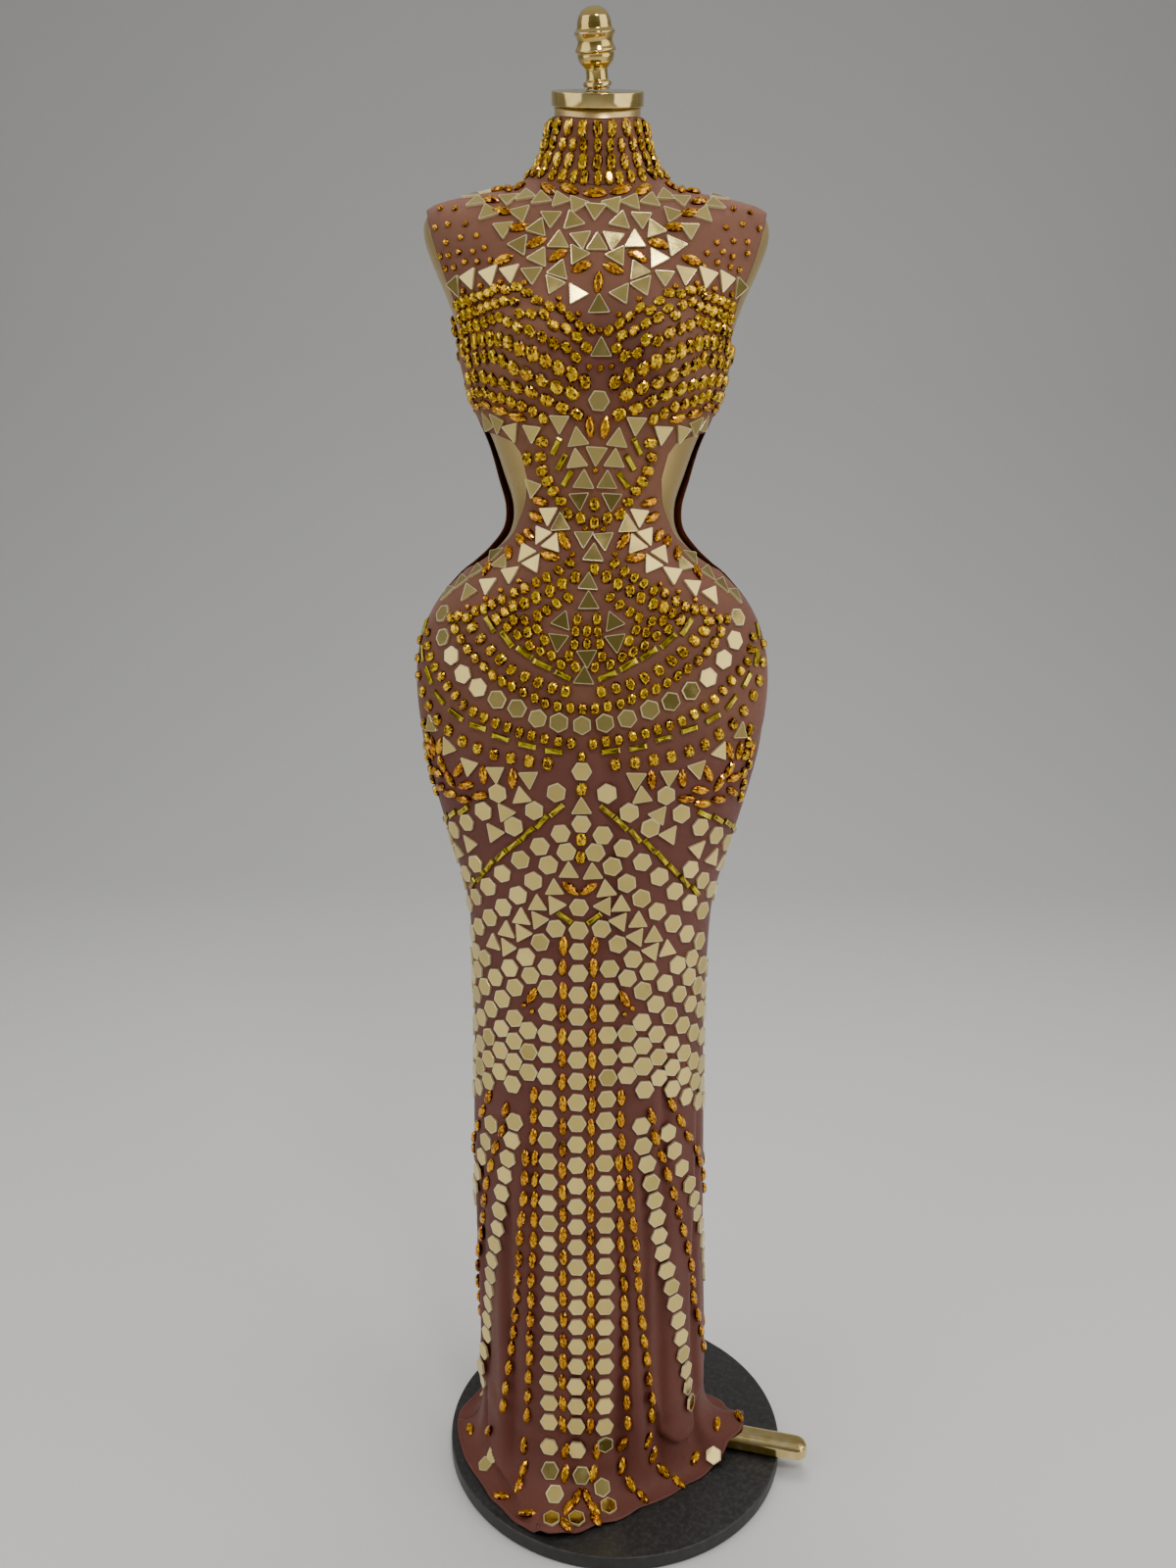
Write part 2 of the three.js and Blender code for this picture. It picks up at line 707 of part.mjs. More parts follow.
// The pull: a flat tab with a rounded end. z = 0 and the middle of its thickness are on the hinge.
function zipPull() {
  const { neck, half, length, thickness } = PULL;
  const tab = new THREE.Shape();
  tab.moveTo(-neck, neck / 2);
  tab.lineTo(-neck, -4);
  tab.lineTo(-half, -8);
  tab.lineTo(-half, half - length);
  tab.absarc(0, half - length, half, Math.PI, 2 * Math.PI, false);
  tab.lineTo(half, -8);
  tab.lineTo(neck, -4);
  tab.lineTo(neck, neck / 2);
  const plate = new THREE.ExtrudeGeometry(tab, { depth: thickness, bevelEnabled: false, curveSegments: 6 });
  return plate.rotateX(Math.PI / 2).translate(0, thickness / 2, 0);
}

const COLOURS = {
  cloth: { color: 0x7a4c44, roughness: 0.75, metalness: 0 },
  gold: { color: 0xb8a05c, roughness: 0.25, metalness: 1 },
  brass: { color: 0xc8a648, roughness: 0.1, metalness: 1 },
  black: { color: 0x1d1e20, roughness: 0.6, metalness: 0 },
  steel: { color: 0x8a8a88, roughness: 0.35, metalness: 1 },
  zip: { color: 0x5a3a34, roughness: 0.7, metalness: 0 },
};

function piece(name, geometry, finish, position = [0, 0, 0]) {
  const mesh = new THREE.Mesh(geometry, new THREE.MeshStandardMaterial(COLOURS[finish]));
  mesh.name = name;
  mesh.position.set(...position);
  return mesh;
}

// The gown: front, two backs and collar, and the zip between the backs.
function gown() {
  const group = new THREE.Group();
  const backEnd = (s) => backMiddle(s);
  group.add(
    piece("front", panel(FRONT_COLUMNS, (s) => -frontEdge(s), frontEdge), "cloth"),
    piece("back_left", panel(BACK_COLUMNS, backEdge, backEnd, standOff), "cloth"),
    piece("back_right", panel(BACK_COLUMNS, (s) => -backEnd(s), (s) => -backEdge(s), standOff), "cloth"),
    piece("collar", collar(), "cloth"),
    piece("zip_chain", zipChain(), "zip"),
  );
  const row = TOP - SLIDER.belowTop;
  const outward = faceNormal(row, 180);
  const slider = new THREE.Group();
  slider.position.copy(movedPoint(row, 180, SLIDER.thickness / 2 + 2 * REST_GAP));
  slider.rotation.x = Math.atan2(outward.z, outward.y);
  const hinge = [0, SLIDER.thickness / 2 + PULL.thickness / 2 + 2 * REST_GAP, SLIDER.hingeUp];
  slider.add(piece("zip_slider", zipSlider(), "brass"), piece("zip_pull", zipPull(), "brass", hinge));
  group.add(slider);
  return group;
}

// The dress form: torso, neck cap, knob, post, socket, disc and pedal.
function dressForm() {
  const group = new THREE.Group();
  const cap = turned([[0, 0], [CAP_RADIUS, 0], [CAP_RADIUS, CAP_THICKNESS], [0, CAP_THICKNESS]], 32);
  const lean = radians(FINIAL_LEAN);
  const knobFoot = CAP_THICKNESS + 2 * REST_GAP - FINIAL_FOOT * Math.sin(lean);
  const knob = piece("finial", finial(), "brass", [0, 0, knobFoot]);
  knob.rotation.y = lean;
  const head = new THREE.Group();
  head.position.z = NECK_TOP;
  head.rotation.x = radians(NECK_TILT);
  head.add(piece("neck_cap", cap, "brass", [0, 0, REST_GAP]), knob);
  group.add(piece("torso", torso(), "gold"), head);
  const stand = new THREE.Group();
  stand.position.x = BASE_X;
  const postBottom = BASE_THICKNESS + REST_GAP;
  const postLength = TORSO_BOTTOM - REST_GAP - postBottom;
  const post = turned([[0, 0], [POST_RADIUS, 0], [POST_RADIUS, postLength], [0, postLength]], 24);
  const lever = new THREE.Group();
  lever.rotation.z = radians(PEDAL_TURN);
  lever.add(
    piece("pedal", pedal(), "brass", [0, 0, PEDAL_UNDERSIDE]),
    piece("pedal_bracket", pedalBracket(), "steel", [0, 0, PEDAL_UNDERSIDE]),
  );
  stand.add(
    piece("base_disc", baseDisc(), "black"),
    piece("post_socket", postSocket(), "steel", [0, 0, postBottom]),
    piece("post", post, "brass", [0, 0, postBottom]),
    lever,
  );
  group.add(stand);
  return group;
}

const object = new THREE.Group();
object.add(gown(), dressForm());

export default object;
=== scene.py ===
"""Evening gown on a limbless dress form: the visual model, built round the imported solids.

The cloth, tiles and stones follow the same sections as the solids. Tables are in millimetres, with
z up, the front towards -Y, and are scaled to metres where a mesh is made.
"""
import logging
import math
from collections.abc import Callable, Iterable, Sequence
from dataclasses import dataclass, field
from enum import Enum

import bpy
import numpy as np
from mathutils import Matrix, Vector


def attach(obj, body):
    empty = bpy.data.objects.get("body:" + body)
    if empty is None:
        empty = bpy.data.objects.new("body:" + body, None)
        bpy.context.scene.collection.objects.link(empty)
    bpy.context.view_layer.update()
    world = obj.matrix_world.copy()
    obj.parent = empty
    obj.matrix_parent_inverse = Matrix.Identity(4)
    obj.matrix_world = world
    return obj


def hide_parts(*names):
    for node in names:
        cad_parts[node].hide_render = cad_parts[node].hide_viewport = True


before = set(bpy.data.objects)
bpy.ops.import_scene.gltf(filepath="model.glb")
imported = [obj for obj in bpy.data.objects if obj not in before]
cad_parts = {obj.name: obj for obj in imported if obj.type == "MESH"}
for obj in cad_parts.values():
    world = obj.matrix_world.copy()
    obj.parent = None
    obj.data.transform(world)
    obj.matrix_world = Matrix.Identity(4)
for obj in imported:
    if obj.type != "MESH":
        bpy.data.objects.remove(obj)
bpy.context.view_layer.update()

MM = 0.001
CLOTH = 1.0  # thickness of the shown cloth, inside the solid wall
ROOT = "gown_and_form"
RNG = np.random.default_rng(1754)
LOG = logging.getLogger("gown")


@dataclass(frozen=True)
class Section:
    """One ring of the cloth's outer face.

    side, front and back are the ring's heights there, half its half width, fore and rear its depths,
    square the exponent of its outline and shift its place along X.
    """

    side: float
    front: float
    back: float
    half: float
    fore: float
    rear: float
    square: float
    shift: float


SECTIONS = [
    Section(110, 110, 110, 148, 120, 116, 2.3, 10),
    Section(200, 200, 200, 148, 114, 113, 2.3, 8),
    Section(320, 320, 320, 147, 110, 111, 2.3, 4),
    Section(460, 460, 460, 147, 107, 109, 2.3, 1),
    Section(600, 600, 600, 144, 104, 107, 2.3, 0),
    Section(700, 700, 700, 146, 103, 107, 2.3, 0),
    Section(770, 770, 770, 151, 104, 110, 2.25, 0),
    Section(830, 830, 830, 167, 107, 118, 2.2, 0),
    Section(893, 893, 893, 185, 112, 131, 2.2, 0),
    Section(951, 951, 951, 199, 117, 143, 2.2, 0),
    Section(1012, 1012, 1012, 207, 120, 151, 2.2, 0),
    Section(1060, 1060, 1060, 206, 119, 149, 2.2, 0),
    Section(1101, 1101, 1101, 195, 116, 138, 2.2, 0),
    Section(1130, 1130, 1130, 178, 111, 125, 2.15, 0),
    Section(1159, 1159, 1159, 151, 104, 112, 2.1, 0),
    Section(1185, 1185, 1185, 120, 96, 101, 2.1, 0),
    Section(1208, 1208, 1208, 101, 90, 94, 2.1, 0),
    Section(1235, 1235, 1235, 98, 87, 90, 2.1, 0),
    Section(1268, 1268, 1268, 108, 91, 90, 2.1, 0),
    Section(1300, 1300, 1300, 119, 97, 92, 2.15, 0),
    Section(1327, 1327, 1327, 131, 102, 95, 2.15, 0),
    Section(1355, 1355, 1355, 143, 106, 98, 2.2, 0),
    Section(1384, 1381, 1383, 151, 108, 100, 2.2, 0),
    Section(1416, 1406, 1411, 157, 108, 101, 2.2, 0),
    Section(1452, 1429, 1438, 169, 106, 101, 2.2, 0),
    Section(1486, 1450, 1462, 184, 102, 100, 2.2, 0),
    Section(1511, 1467, 1483, 193, 98, 99, 2.2, 0),
    Section(1529, 1481, 1500, 195, 94, 97, 2.2, 0),
    Section(1542, 1493, 1515, 191, 90, 95, 2.2, 0),
    Section(1551, 1505, 1529, 181, 86, 92, 2.15, 0),
    Section(1557, 1518, 1543, 163, 81, 88, 2.1, 0),
    Section(1562, 1529, 1555, 139, 76, 84, 2.05, 0),
    Section(1568, 1540, 1566, 109, 70, 79, 2, 0),
    Section(1577, 1550, 1575, 84, 64, 73, 2, 0),
    Section(1591, 1561, 1586, 68, 59, 67, 2, 0),
    Section(1607, 1580, 1601, 60, 55, 61, 2, 0),
    Section(1624, 1603, 1621, 55.5, 53, 56, 2, 0),
    Section(1640, 1627, 1641, 51.5, 51.5, 51.5, 2, 0),
]
TOP = len(SECTIONS) - 1
NECKLINE = 34
COLLAR_START = NECKLINE + 0.02


@dataclass(frozen=True)
class Fold:
    """A soft vertical fold of the skirt: at and width in degrees from the front, depth and top in mm."""

    at: float
    width: float
    depth: float
    top: float


FOLDS = [
    Fold(-63, 8, 5, 380),
    Fold(-36, 9, 6, 340),
    Fold(-14, 8, 3, 260),
    Fold(10, 7, 6, 330),
    Fold(33, 8, 9, 430),
    Fold(58, 8, 6, 460),
    Fold(108, 9, 7, 420),
    Fold(133, 9, 6, 380),
    Fold(160, 9, 7, 440),
    Fold(-106, 9, 6, 400),
    Fold(-131, 9, 7, 430),
    Fold(-158, 9, 6, 360),
]

# The hem's reach over the base disc: degrees from the centre front, then mm from the skirt's axis.
HEM = [
    (-180, 140), (-152, 144), (-130, 155), (-110, 170), (-92, 184), (-70, 181), (-55, 180), (-40, 187),
    (-27, 197), (-16, 204), (-8, 193), (4, 174), (25, 159), (45, 162), (58, 173), (68, 187), (80, 203),
    (90, 204), (100, 186), (112, 162), (135, 146), (180, 140),
]

# Edges of the cut-outs and armholes: section number, then the front's and the back's edge in degrees.
EDGES = [
    (14.05, 90, 90), (14.3, 72, 97), (14.8, 66, 98), (15.5, 61, 98), (16.3, 58, 98), (17, 50, 97),
    (17.8, 43, 95), (18.6, 43, 94), (19, 47, 93), (19.3, 60, 92), (19.5, 76, 91), (19.7, 90, 90),
    (22.3, 90, 90), (22.6, 74, 97), (23.2, 67, 103), (24, 64, 108), (25, 62.5, 111), (26, 62.5, 112),
    (27, 65, 110), (28, 72, 104), (28.6, 81, 98), (29, 90, 90),
]


@dataclass(frozen=True)
class GownShape:
    """The outer face of the gown as a function of a section number and an angle.

    Section numbers run from -1 at the hem to 0 just above it and up to TOP at the collar's edge. Angles
    are in degrees, 0 at the centre front, 90 at the +X side and 180 at the centre back.
    """

    cup_x: float = 76
    cup_z: float = 1398
    cup_width: float = 44
    cup_height: float = 46
    cup_depth: float = 30
    hem_floor: float = 18.5
    wall: float = 2
    hem_curl: float = 0.62
    tent_at: float = 78
    tent_flat: float = 7
    tent_fade: float = 13
    tent_height: float = 24.5
    zip_bottom: float = 1000
    zip_slot: float = 5
    seam_gap: float = 0.3
    stand_off: float = 6
    per_degree: float = 2.1

    def column(self, name: str, s: np.ndarray) -> np.ndarray:
        """Catmull-Rom interpolation of one field of the sections.

        Args:
            name: The field.
            s: Section numbers.

        Returns:
            The field's value at each section number.
        """
        values = np.array([getattr(section, name) for section in SECTIONS], float)
        i = np.clip(np.floor(s).astype(int), 0, TOP - 1)
        a, b, c, d = (values[np.clip(i + k, 0, TOP)] for k in (-1, 0, 1, 2))
        u = s - i
        slope_b, slope_c = (c - a) / 2, (d - b) / 2
        turn = 2 * (b - c) + slope_b + slope_c
        return b + u * (slope_b + u * (3 * (c - b) - 2 * slope_b - slope_c + u * turn))

    def fold_depth(self, degrees: np.ndarray, z: np.ndarray) -> np.ndarray:
        """How far the folds push the skirt in.

        Args:
            degrees: Angles.
            z: Heights in mm.

        Returns:
            Depths in mm.
        """
        depth = np.zeros(np.broadcast(degrees, z).shape)
        for fold in FOLDS:
            away = wrapped(degrees - fold.at) / fold.width
            depth = depth + fold.depth * np.exp(-away**2) * smooth((fold.top - z) / (fold.top - 60))
        return depth

    def body(self, s: np.ndarray, degrees: np.ndarray, cup: float | None = None) -> np.ndarray:
        """Points of the smooth face above the hem's turn.

        Args:
            s: Section numbers, 0 or more.
            degrees: Angles.
            cup: Depth of the bust cups in mm, or None for the gown's own.

        Returns:
            Points in mm, with x, y and z on the last axis.
        """
        s, degrees = np.broadcast_arrays(np.asarray(s, float), np.asarray(degrees, float))
        angle = np.radians(degrees)
        sine, cosine = np.sin(angle), np.cos(angle)
        power = 2 / self.column("square", s)
        forward = cosine > 0
        depth = np.where(forward, self.column("fore", s), self.column("rear", s))
        end = np.where(forward, self.column("front", s), self.column("back", s))
        side = self.column("side", s)
        z = side + (end - side) * cosine**2
        pushed = self.fold_depth(degrees, z)
        x = (self.column("half", s) - pushed) * signed_power(sine, power)
        y = -(depth - pushed) * signed_power(cosine, power)
        across = (np.abs(x) - self.cup_x) / self.cup_width
        up = (z - self.cup_z) / self.cup_height
        mound = np.exp(-(across**2) - up**2) * np.sqrt(np.maximum(cosine, 0))
        y = y - (self.cup_depth if cup is None else cup) * mound
        return np.stack([x + self.column("shift", s), y, z], -1)

    def hem(self, share: np.ndarray, degrees: np.ndarray) -> np.ndarray:
        """Points where the skirt turns out onto the disc.

        Args:
            share: 0 where it leaves the tube and 1 at the hem.
            degrees: Angles.

        Returns:
            Points in mm.
        """
        share, degrees = np.broadcast_arrays(np.asarray(share, float), np.asarray(degrees, float))
        start = self.body(np.zeros_like(share), degrees)
        angle = np.radians(degrees)
        reach = hem_reach(wrapped(degrees))
        tent = smooth(1 - (np.abs(wrapped(degrees - self.tent_at)) - self.tent_flat) / self.tent_fade)
        end = np.stack(
            [
                SECTIONS[0].shift + reach * np.sin(angle),
                -reach * np.cos(angle),
                self.hem_floor + self.wall + self.tent_height * tent,
            ],
            -1,
        )
        turn = share * math.pi / 2
        out = 1 - np.abs(np.cos(turn)) ** self.hem_curl
        down = np.sin(turn) ** self.hem_curl
        mix = np.stack([out, out, down], -1)
        return start + (end - start) * mix

    def face(self, s: np.ndarray, degrees: np.ndarray, cup: float | None = None) -> np.ndarray:
        """Points of the whole outer face.

        Args:
            s: Section numbers from -1.
            degrees: Angles.
            cup: Depth of the bust cups in mm, or None for the gown's own.

        Returns:
            Points in mm.
        """
        s, degrees = np.broadcast_arrays(np.asarray(s, float), np.asarray(degrees, float))
        above = self.body(np.maximum(s, 0), degrees, cup)
        below = self.hem(np.clip(-s, 0, 1), degrees)
        return np.where((s < 0)[..., None], below, above)

    def normal(self, s: np.ndarray, degrees: np.ndarray) -> np.ndarray:
        """Outward normals of the face.

        Args:
            s: Section numbers.
            degrees: Angles.

        Returns:
            Unit vectors.
        """
        step = 0.02
        up = self.face(np.minimum(s + step, TOP), degrees) - self.face(np.maximum(s - step, -1), degrees)
        round_ = self.face(s, degrees + step * 10) - self.face(s, degrees - step * 10)
        normal = np.cross(round_, up)
        return normal / np.maximum(np.linalg.norm(normal, axis=-1, keepdims=True), 1e-9)

    def moved(self, s: np.ndarray, degrees: np.ndarray, out: np.ndarray | float) -> np.ndarray:
        """The face moved out along its normals, in mm."""
        out = np.asarray(out, float)
        return self.face(s, degrees) + self.normal(s, degrees) * out[..., None]

    def seam_angle(self, s: np.ndarray, distance: float, size: str) -> np.ndarray:
        """The angle from a side or from the centre back at which a ring lies a distance from it.

        Args:
            s: Section numbers.
            distance: The distance in mm.
            size: The field that holds the ring's reach there.

        Returns:
            Angles in degrees.
        """
        row = np.maximum(s, 0)
        return np.degrees((distance / self.column(size, row)) ** (self.column("square", row) / 2))

    def front_edge(self, s: np.ndarray) -> np.ndarray:
        """The front panel's edge in degrees at each section number."""
        seam = 90 - self.seam_angle(s, self.seam_gap / 2, "fore")
        return np.minimum(np.interp(s, [e[0] for e in EDGES], [e[1] for e in EDGES]), seam)

    def back_edge(self, s: np.ndarray) -> np.ndarray:
        """The back panels' side edge in degrees at each section number."""
        seam = 90 + self.seam_angle(s, self.seam_gap / 2, "rear")
        return np.maximum(np.interp(s, [e[0] for e in EDGES], [e[2] for e in EDGES]), seam)

    def back_middle(self, s: np.ndarray) -> np.ndarray:
        """The back panels' edge at the centre back, parted at the zip and meeting below it."""
        z = self.face(s, 180.0)[..., 2]
        opened = smooth((z - self.zip_bottom + 12) / 12)
        gap = (self.seam_gap + (self.zip_slot - self.seam_gap) * opened) / 2
        row = np.maximum(s, 0)
        return 180 - np.degrees((gap / self.column("half", row)) ** (self.column("square", row) / 2))

    def waist_stand_off(self, s: np.ndarray, degrees: np.ndarray) -> np.ndarray:
        """How far the back's cut edges stand off the torso at the waist, in mm."""
        along = (s - 16.4) / 2.2
        near = smooth(1 - (np.abs(degrees) - 95) / 34)
        return np.where(np.abs(degrees) < 90, 0, self.stand_off * np.exp(-(along**2)) * near)


def smooth(x: np.ndarray) -> np.ndarray:
    """Smoothstep from 0 to 1."""
    x = np.clip(x, 0, 1)
    return x * x * (3 - 2 * x)


def wrapped(degrees: np.ndarray) -> np.ndarray:
    """Degrees brought into -180 to 180."""
    return (np.asarray(degrees, float) + 180) % 360 - 180


def signed_power(x: np.ndarray, power: np.ndarray) -> np.ndarray:
    """The power of the size of x, with the sign of x."""
    return np.sign(x) * np.abs(x) ** power


def hem_reach(degrees: np.ndarray) -> np.ndarray:
    """The hem's reach in mm at each angle, eased between the rows of the table."""
    angles = np.array([row[0] for row in HEM], float)
    reaches = np.array([row[1] for row in HEM], float)
    k = np.clip(np.searchsorted(angles, degrees, side="left"), 1, len(HEM) - 1)
    share = (degrees - angles[k - 1]) / (angles[k] - angles[k - 1])
    return reaches[k - 1] + (reaches[k] - reaches[k - 1]) * smooth(share)


SHAPE = GownShape()


@dataclass(frozen=True)
class Crease:
    """A soft line of pull or a fold between two places (degrees, z), with its width and depth in mm."""

    start: tuple[float, float]
    end: tuple[float, float]
    width: float
    depth: float


CREASES = [
    # Pulls over the hips, waist and chest
    Crease((-2, 1010), (2, 985), 7, 1.1),
    Crease((3, 1015), (5, 720), 5, 2.2),
    Crease((8, 960), (9, 560), 5, 1.8),
    Crease((-40, 1120), (38, 1117), 6, 0.9),
    Crease((-48, 1138), (44, 1135), 5, 0.9),
    Crease((-38, 1152), (36, 1150), 5, 0.9),
    Crease((-20, 1166), (24, 1168), 5, 0.8),
    Crease((-30, 1103), (30, 1100), 6, 0.7),
    Crease((-86, 980), (-60, 930), 8, 1.1),
    Crease((84, 985), (58, 925), 8, 1.1),
    Crease((-60, 1500), (-30, 1470), 7, 0.9),
    Crease((62, 1500), (34, 1470), 7, 0.9),
    Crease((-74, 1540), (-66, 1470), 9, 1.2),
    Crease((74, 1540), (66, 1470), 9, 1.2),
    Crease((-70, 1530), (-50, 1462), 8, 0.8),
    Crease((68, 1532), (52, 1464), 8, 0.8),
    Crease((150, 1010), (128, 900), 9, 1.2),
    Crease((-150, 1015), (-126, 905), 9, 1.2),
    Crease((170, 900), (150, 840), 9, 1.1),
    Crease((-168, 890), (-148, 835), 9, 1.1),
    Crease((120, 1120), (168, 1112), 6, 0.9),
    Crease((-118, 1118), (-168, 1110), 6, 0.9),
    Crease((168, 1210), (110, 1196), 6, 0.8),
    Crease((-168, 1216), (-112, 1200), 6, 0.8),
    # Folds of the skirt, down to the hem
    Crease((-22, 520), (-27, 60), 10, 3.0),
    Crease((-42, 400), (-41, 20), 8, 5.5),
    Crease((-66, 460), (-70, 30), 9, 4.6),
    Crease((12, 360), (13, 20), 7, 5.2),
    Crease((24, 480), (27, 20), 8, 5.6),
    Crease((36, 600), (34, 20), 8, 5.0),
    Crease((66, 520), (62, 30), 8, 6.0),
    Crease((-8, 210), (-6, 20), 6, 3.0),
    Crease((118, 560), (120, 40), 10, 3.4),
    Crease((146, 640), (144, 40), 10, 3.2),
    Crease((170, 420), (166, 40), 9, 2.6),
    Crease((-118, 500), (-121, 40), 10, 3.4),
    Crease((-144, 600), (-147, 40), 10, 3.0),
    Crease((-168, 380), (-171, 40), 9, 2.4),
    # Cross creases where the skirt settles on the base
    Crease((-62, 128), (-20, 88), 9, 2.2),
    Crease((-16, 96), (12, 70), 9, 2.4),
    Crease((30, 92), (64, 132), 9, 2.4),
    Crease((104, 120), (150, 92), 9, 2.0),
    Crease((-104, 124), (-152, 90), 9, 2.0),
]
RIDGE_LIMIT = 2.4  # how far a ridge may stand off the smooth face, in mm
BODY_LIMIT = 1.9  # how deep a trough may be over the form, in mm
SKIRT_LIMIT = 6.5  # and below it


@dataclass(frozen=True)
class Roll:
    """A lobe of the hem that rolls over the cloth beside it.

    Attributes:
        line: Its edge as (degrees, share of the hem) points; the lobe lies to the right of the way along it.
        height: How far it stands up at its edge, in mm.
        length: How soon it falls back behind the edge, in mm.
    """

    line: tuple[tuple[float, float], ...]
    height: float
    length: float

    def lift(self, across: np.ndarray, down: np.ndarray) -> np.ndarray:
        """How far it lifts the cloth at places given in mm round the hem and down from its start."""
        corners = np.array(self.line) * (HEM_PER_DEGREE, HEM_REACH)
        nearest = np.full(across.shape, np.inf)
        beside = np.zeros(across.shape)
        for start, end in zip(corners[:-1], corners[1:]):
            way = end - start
            length = np.linalg.norm(way)
            along = np.clip(((across - start[0]) * way[0] + (down - start[1]) * way[1]) / length**2, 0, 1)
            far = np.hypot(across - start[0] - along * way[0], down - start[1] - along * way[1])
            side = ((across - start[0]) * way[1] - (down - start[1]) * way[0]) / length
            beside = np.where(far < nearest, np.where(side < 0, -far, far), beside)
            nearest = np.minimum(nearest, far)
        return self.height * smooth((beside + 1) / 4) * np.exp(-np.maximum(beside, 0) / self.length)


ROLLS = [
    Roll(((-72, -0.1), (-62, 0.2), (-53, 0.48), (-42, 0.74), (-30, 0.9), (-16, 1.05)), 10.5, 34),
    Roll(((30, -0.1), (34, 0.1), (44, 0.22), (55, 0.2), (63, 0.05)), 9, 30),
]
HEM_PER_DEGREE = 3.1  # mm round the hem
HEM_REACH = 110  # mm from its start to its edge, in the middle
HEM_START = 110  # height of its start, in mm


def crease_depth(s: np.ndarray, degrees: np.ndarray) -> np.ndarray:
    """How far the creases push the cloth in, with a soft ridge beside each.

    Args:
        s: Section numbers.
        degrees: Angles.

    Returns:
        Depths in mm, negative on the ridges.
    """
    z = SHAPE.face(s, degrees)[..., 2]
    depth = np.zeros(z.shape)
    for crease in CREASES:
        start = np.array([crease.start[0] * SHAPE.per_degree, crease.start[1]])
        line = np.array([crease.end[0] * SHAPE.per_degree, crease.end[1]]) - start
        length = np.linalg.norm(line)
        across = wrapped(degrees - crease.start[0]) * SHAPE.per_degree
        up = z - crease.start[1]
        along = (across * line[0] + up * line[1]) / length**2
        bend = 3 * np.sin(along * 5 + crease.width)
        off = ((across * line[1] - up * line[0]) / length + bend) / crease.width
        fade = smooth(np.minimum(along + 0.12, 1.12 - along) / 0.3)
        trough = np.exp(-(off**2)) - 0.45 * np.exp(-((off - 1.7) ** 2))
        depth = depth + crease.depth * trough * fade
    deepest = BODY_LIMIT + (SKIRT_LIMIT - BODY_LIMIT) * smooth((770 - z) / 150)
    on_hem = smooth(-np.asarray(s, float))
    deepest = deepest + (0.5 - deepest) * on_hem
    down = np.where(s < 0, -np.asarray(s, float) * HEM_REACH, HEM_START - z)
    across = wrapped(degrees) * HEM_PER_DEGREE
    fading = smooth((HEM_REACH + down) / HEM_REACH)
    lifted = np.sum([roll.lift(across, down) for roll in ROLLS], axis=0) * fading
    return np.clip(depth, -RIDGE_LIMIT, deepest) - lifted


def cloth_face(s: np.ndarray, degrees: np.ndarray, out: np.ndarray | float) -> np.ndarray:
    """The creased face of the cloth, moved out along its normals.

    Args:
        s: Section numbers.
        degrees: Angles.
        out: How far it is moved out, in mm.

    Returns:
        Points in mm.
    """
    return SHAPE.moved(s, degrees, SHAPE.waist_stand_off(s, degrees) - crease_depth(s, degrees) + out)


def add_mesh(
    name: str,
    points: np.ndarray,
    faces: Sequence[Sequence[int]] | np.ndarray,
    materials: Sequence[bpy.types.Material],
    slots: np.ndarray | None = None,
    smooth_faces: bool = True,
    body: str = ROOT,
) -> bpy.types.Object:
    """Makes a mesh piece that rides on a body.

    Args:
        name: The piece's name.
        points: Points in mm.
        faces: Point numbers of each face.
        materials: The piece's materials.
        slots: The material number of each face, or None for the first.
        smooth_faces: Whether the faces are shaded smooth.
        body: The body that it rides on.

    Returns:
        The new object.
    """
    mesh = bpy.data.meshes.new(name)
    mesh.from_pydata((np.asarray(points, float) * MM).tolist(), [], [tuple(map(int, f)) for f in faces])
    for material in materials:
        mesh.materials.append(material)
    if slots is not None:
        mesh.polygons.foreach_set("material_index", np.asarray(slots, np.int32))
    mesh.polygons.foreach_set("use_smooth", np.full(len(mesh.polygons), smooth_faces))
    mesh.update()
    piece = bpy.data.objects.new(name, mesh)
    bpy.context.scene.collection.objects.link(piece)
    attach(piece, body)
    return piece


def add_values(piece: bpy.types.Object, name: str, values: np.ndarray) -> None:
    """Stores one number for each point of a piece, for its material to read."""
    layer = piece.data.attributes.new(name, "FLOAT", "POINT")
    layer.data.foreach_set("value", np.asarray(values, np.float32))


def grid_shell(outer: np.ndarray, inner: np.ndarray) -> tuple[np.ndarray, np.ndarray]:
    """A closed shell between two grids of points.

    Args:
        outer: Points of the outer face, rows by columns by 3, counter-clockwise seen from outside.
        inner: Points of the inner face.

    Returns:
        The points and the faces.
    """
    rows, columns = outer.shape[0], outer.shape[1]
    k = np.arange(rows * columns).reshape(rows, columns)
    a, b, c, d = k[:-1, :-1], k[:-1, 1:], k[1:, 1:], k[1:, :-1]
    face = np.stack([a, b, c, d], -1).reshape(-1, 4)
    back = face[:, ::-1] + rows * columns
    inside = k + rows * columns

    def strip(first: np.ndarray, second: np.ndarray) -> np.ndarray:
        """The strip of faces between two lines of points."""
        return np.stack([first[1:], first[:-1], second[:-1], second[1:]], -1)

    sides = [
        strip(k[0, :], inside[0, :]),
        strip(k[-1, ::-1], inside[-1, ::-1]),
        strip(k[::-1, 0], inside[::-1, 0]),
        strip(k[:, -1], inside[:, -1]),
    ]
    points = np.concatenate([outer.reshape(-1, 3), inner.reshape(-1, 3)])
    return points, np.concatenate([face, back, *sides])


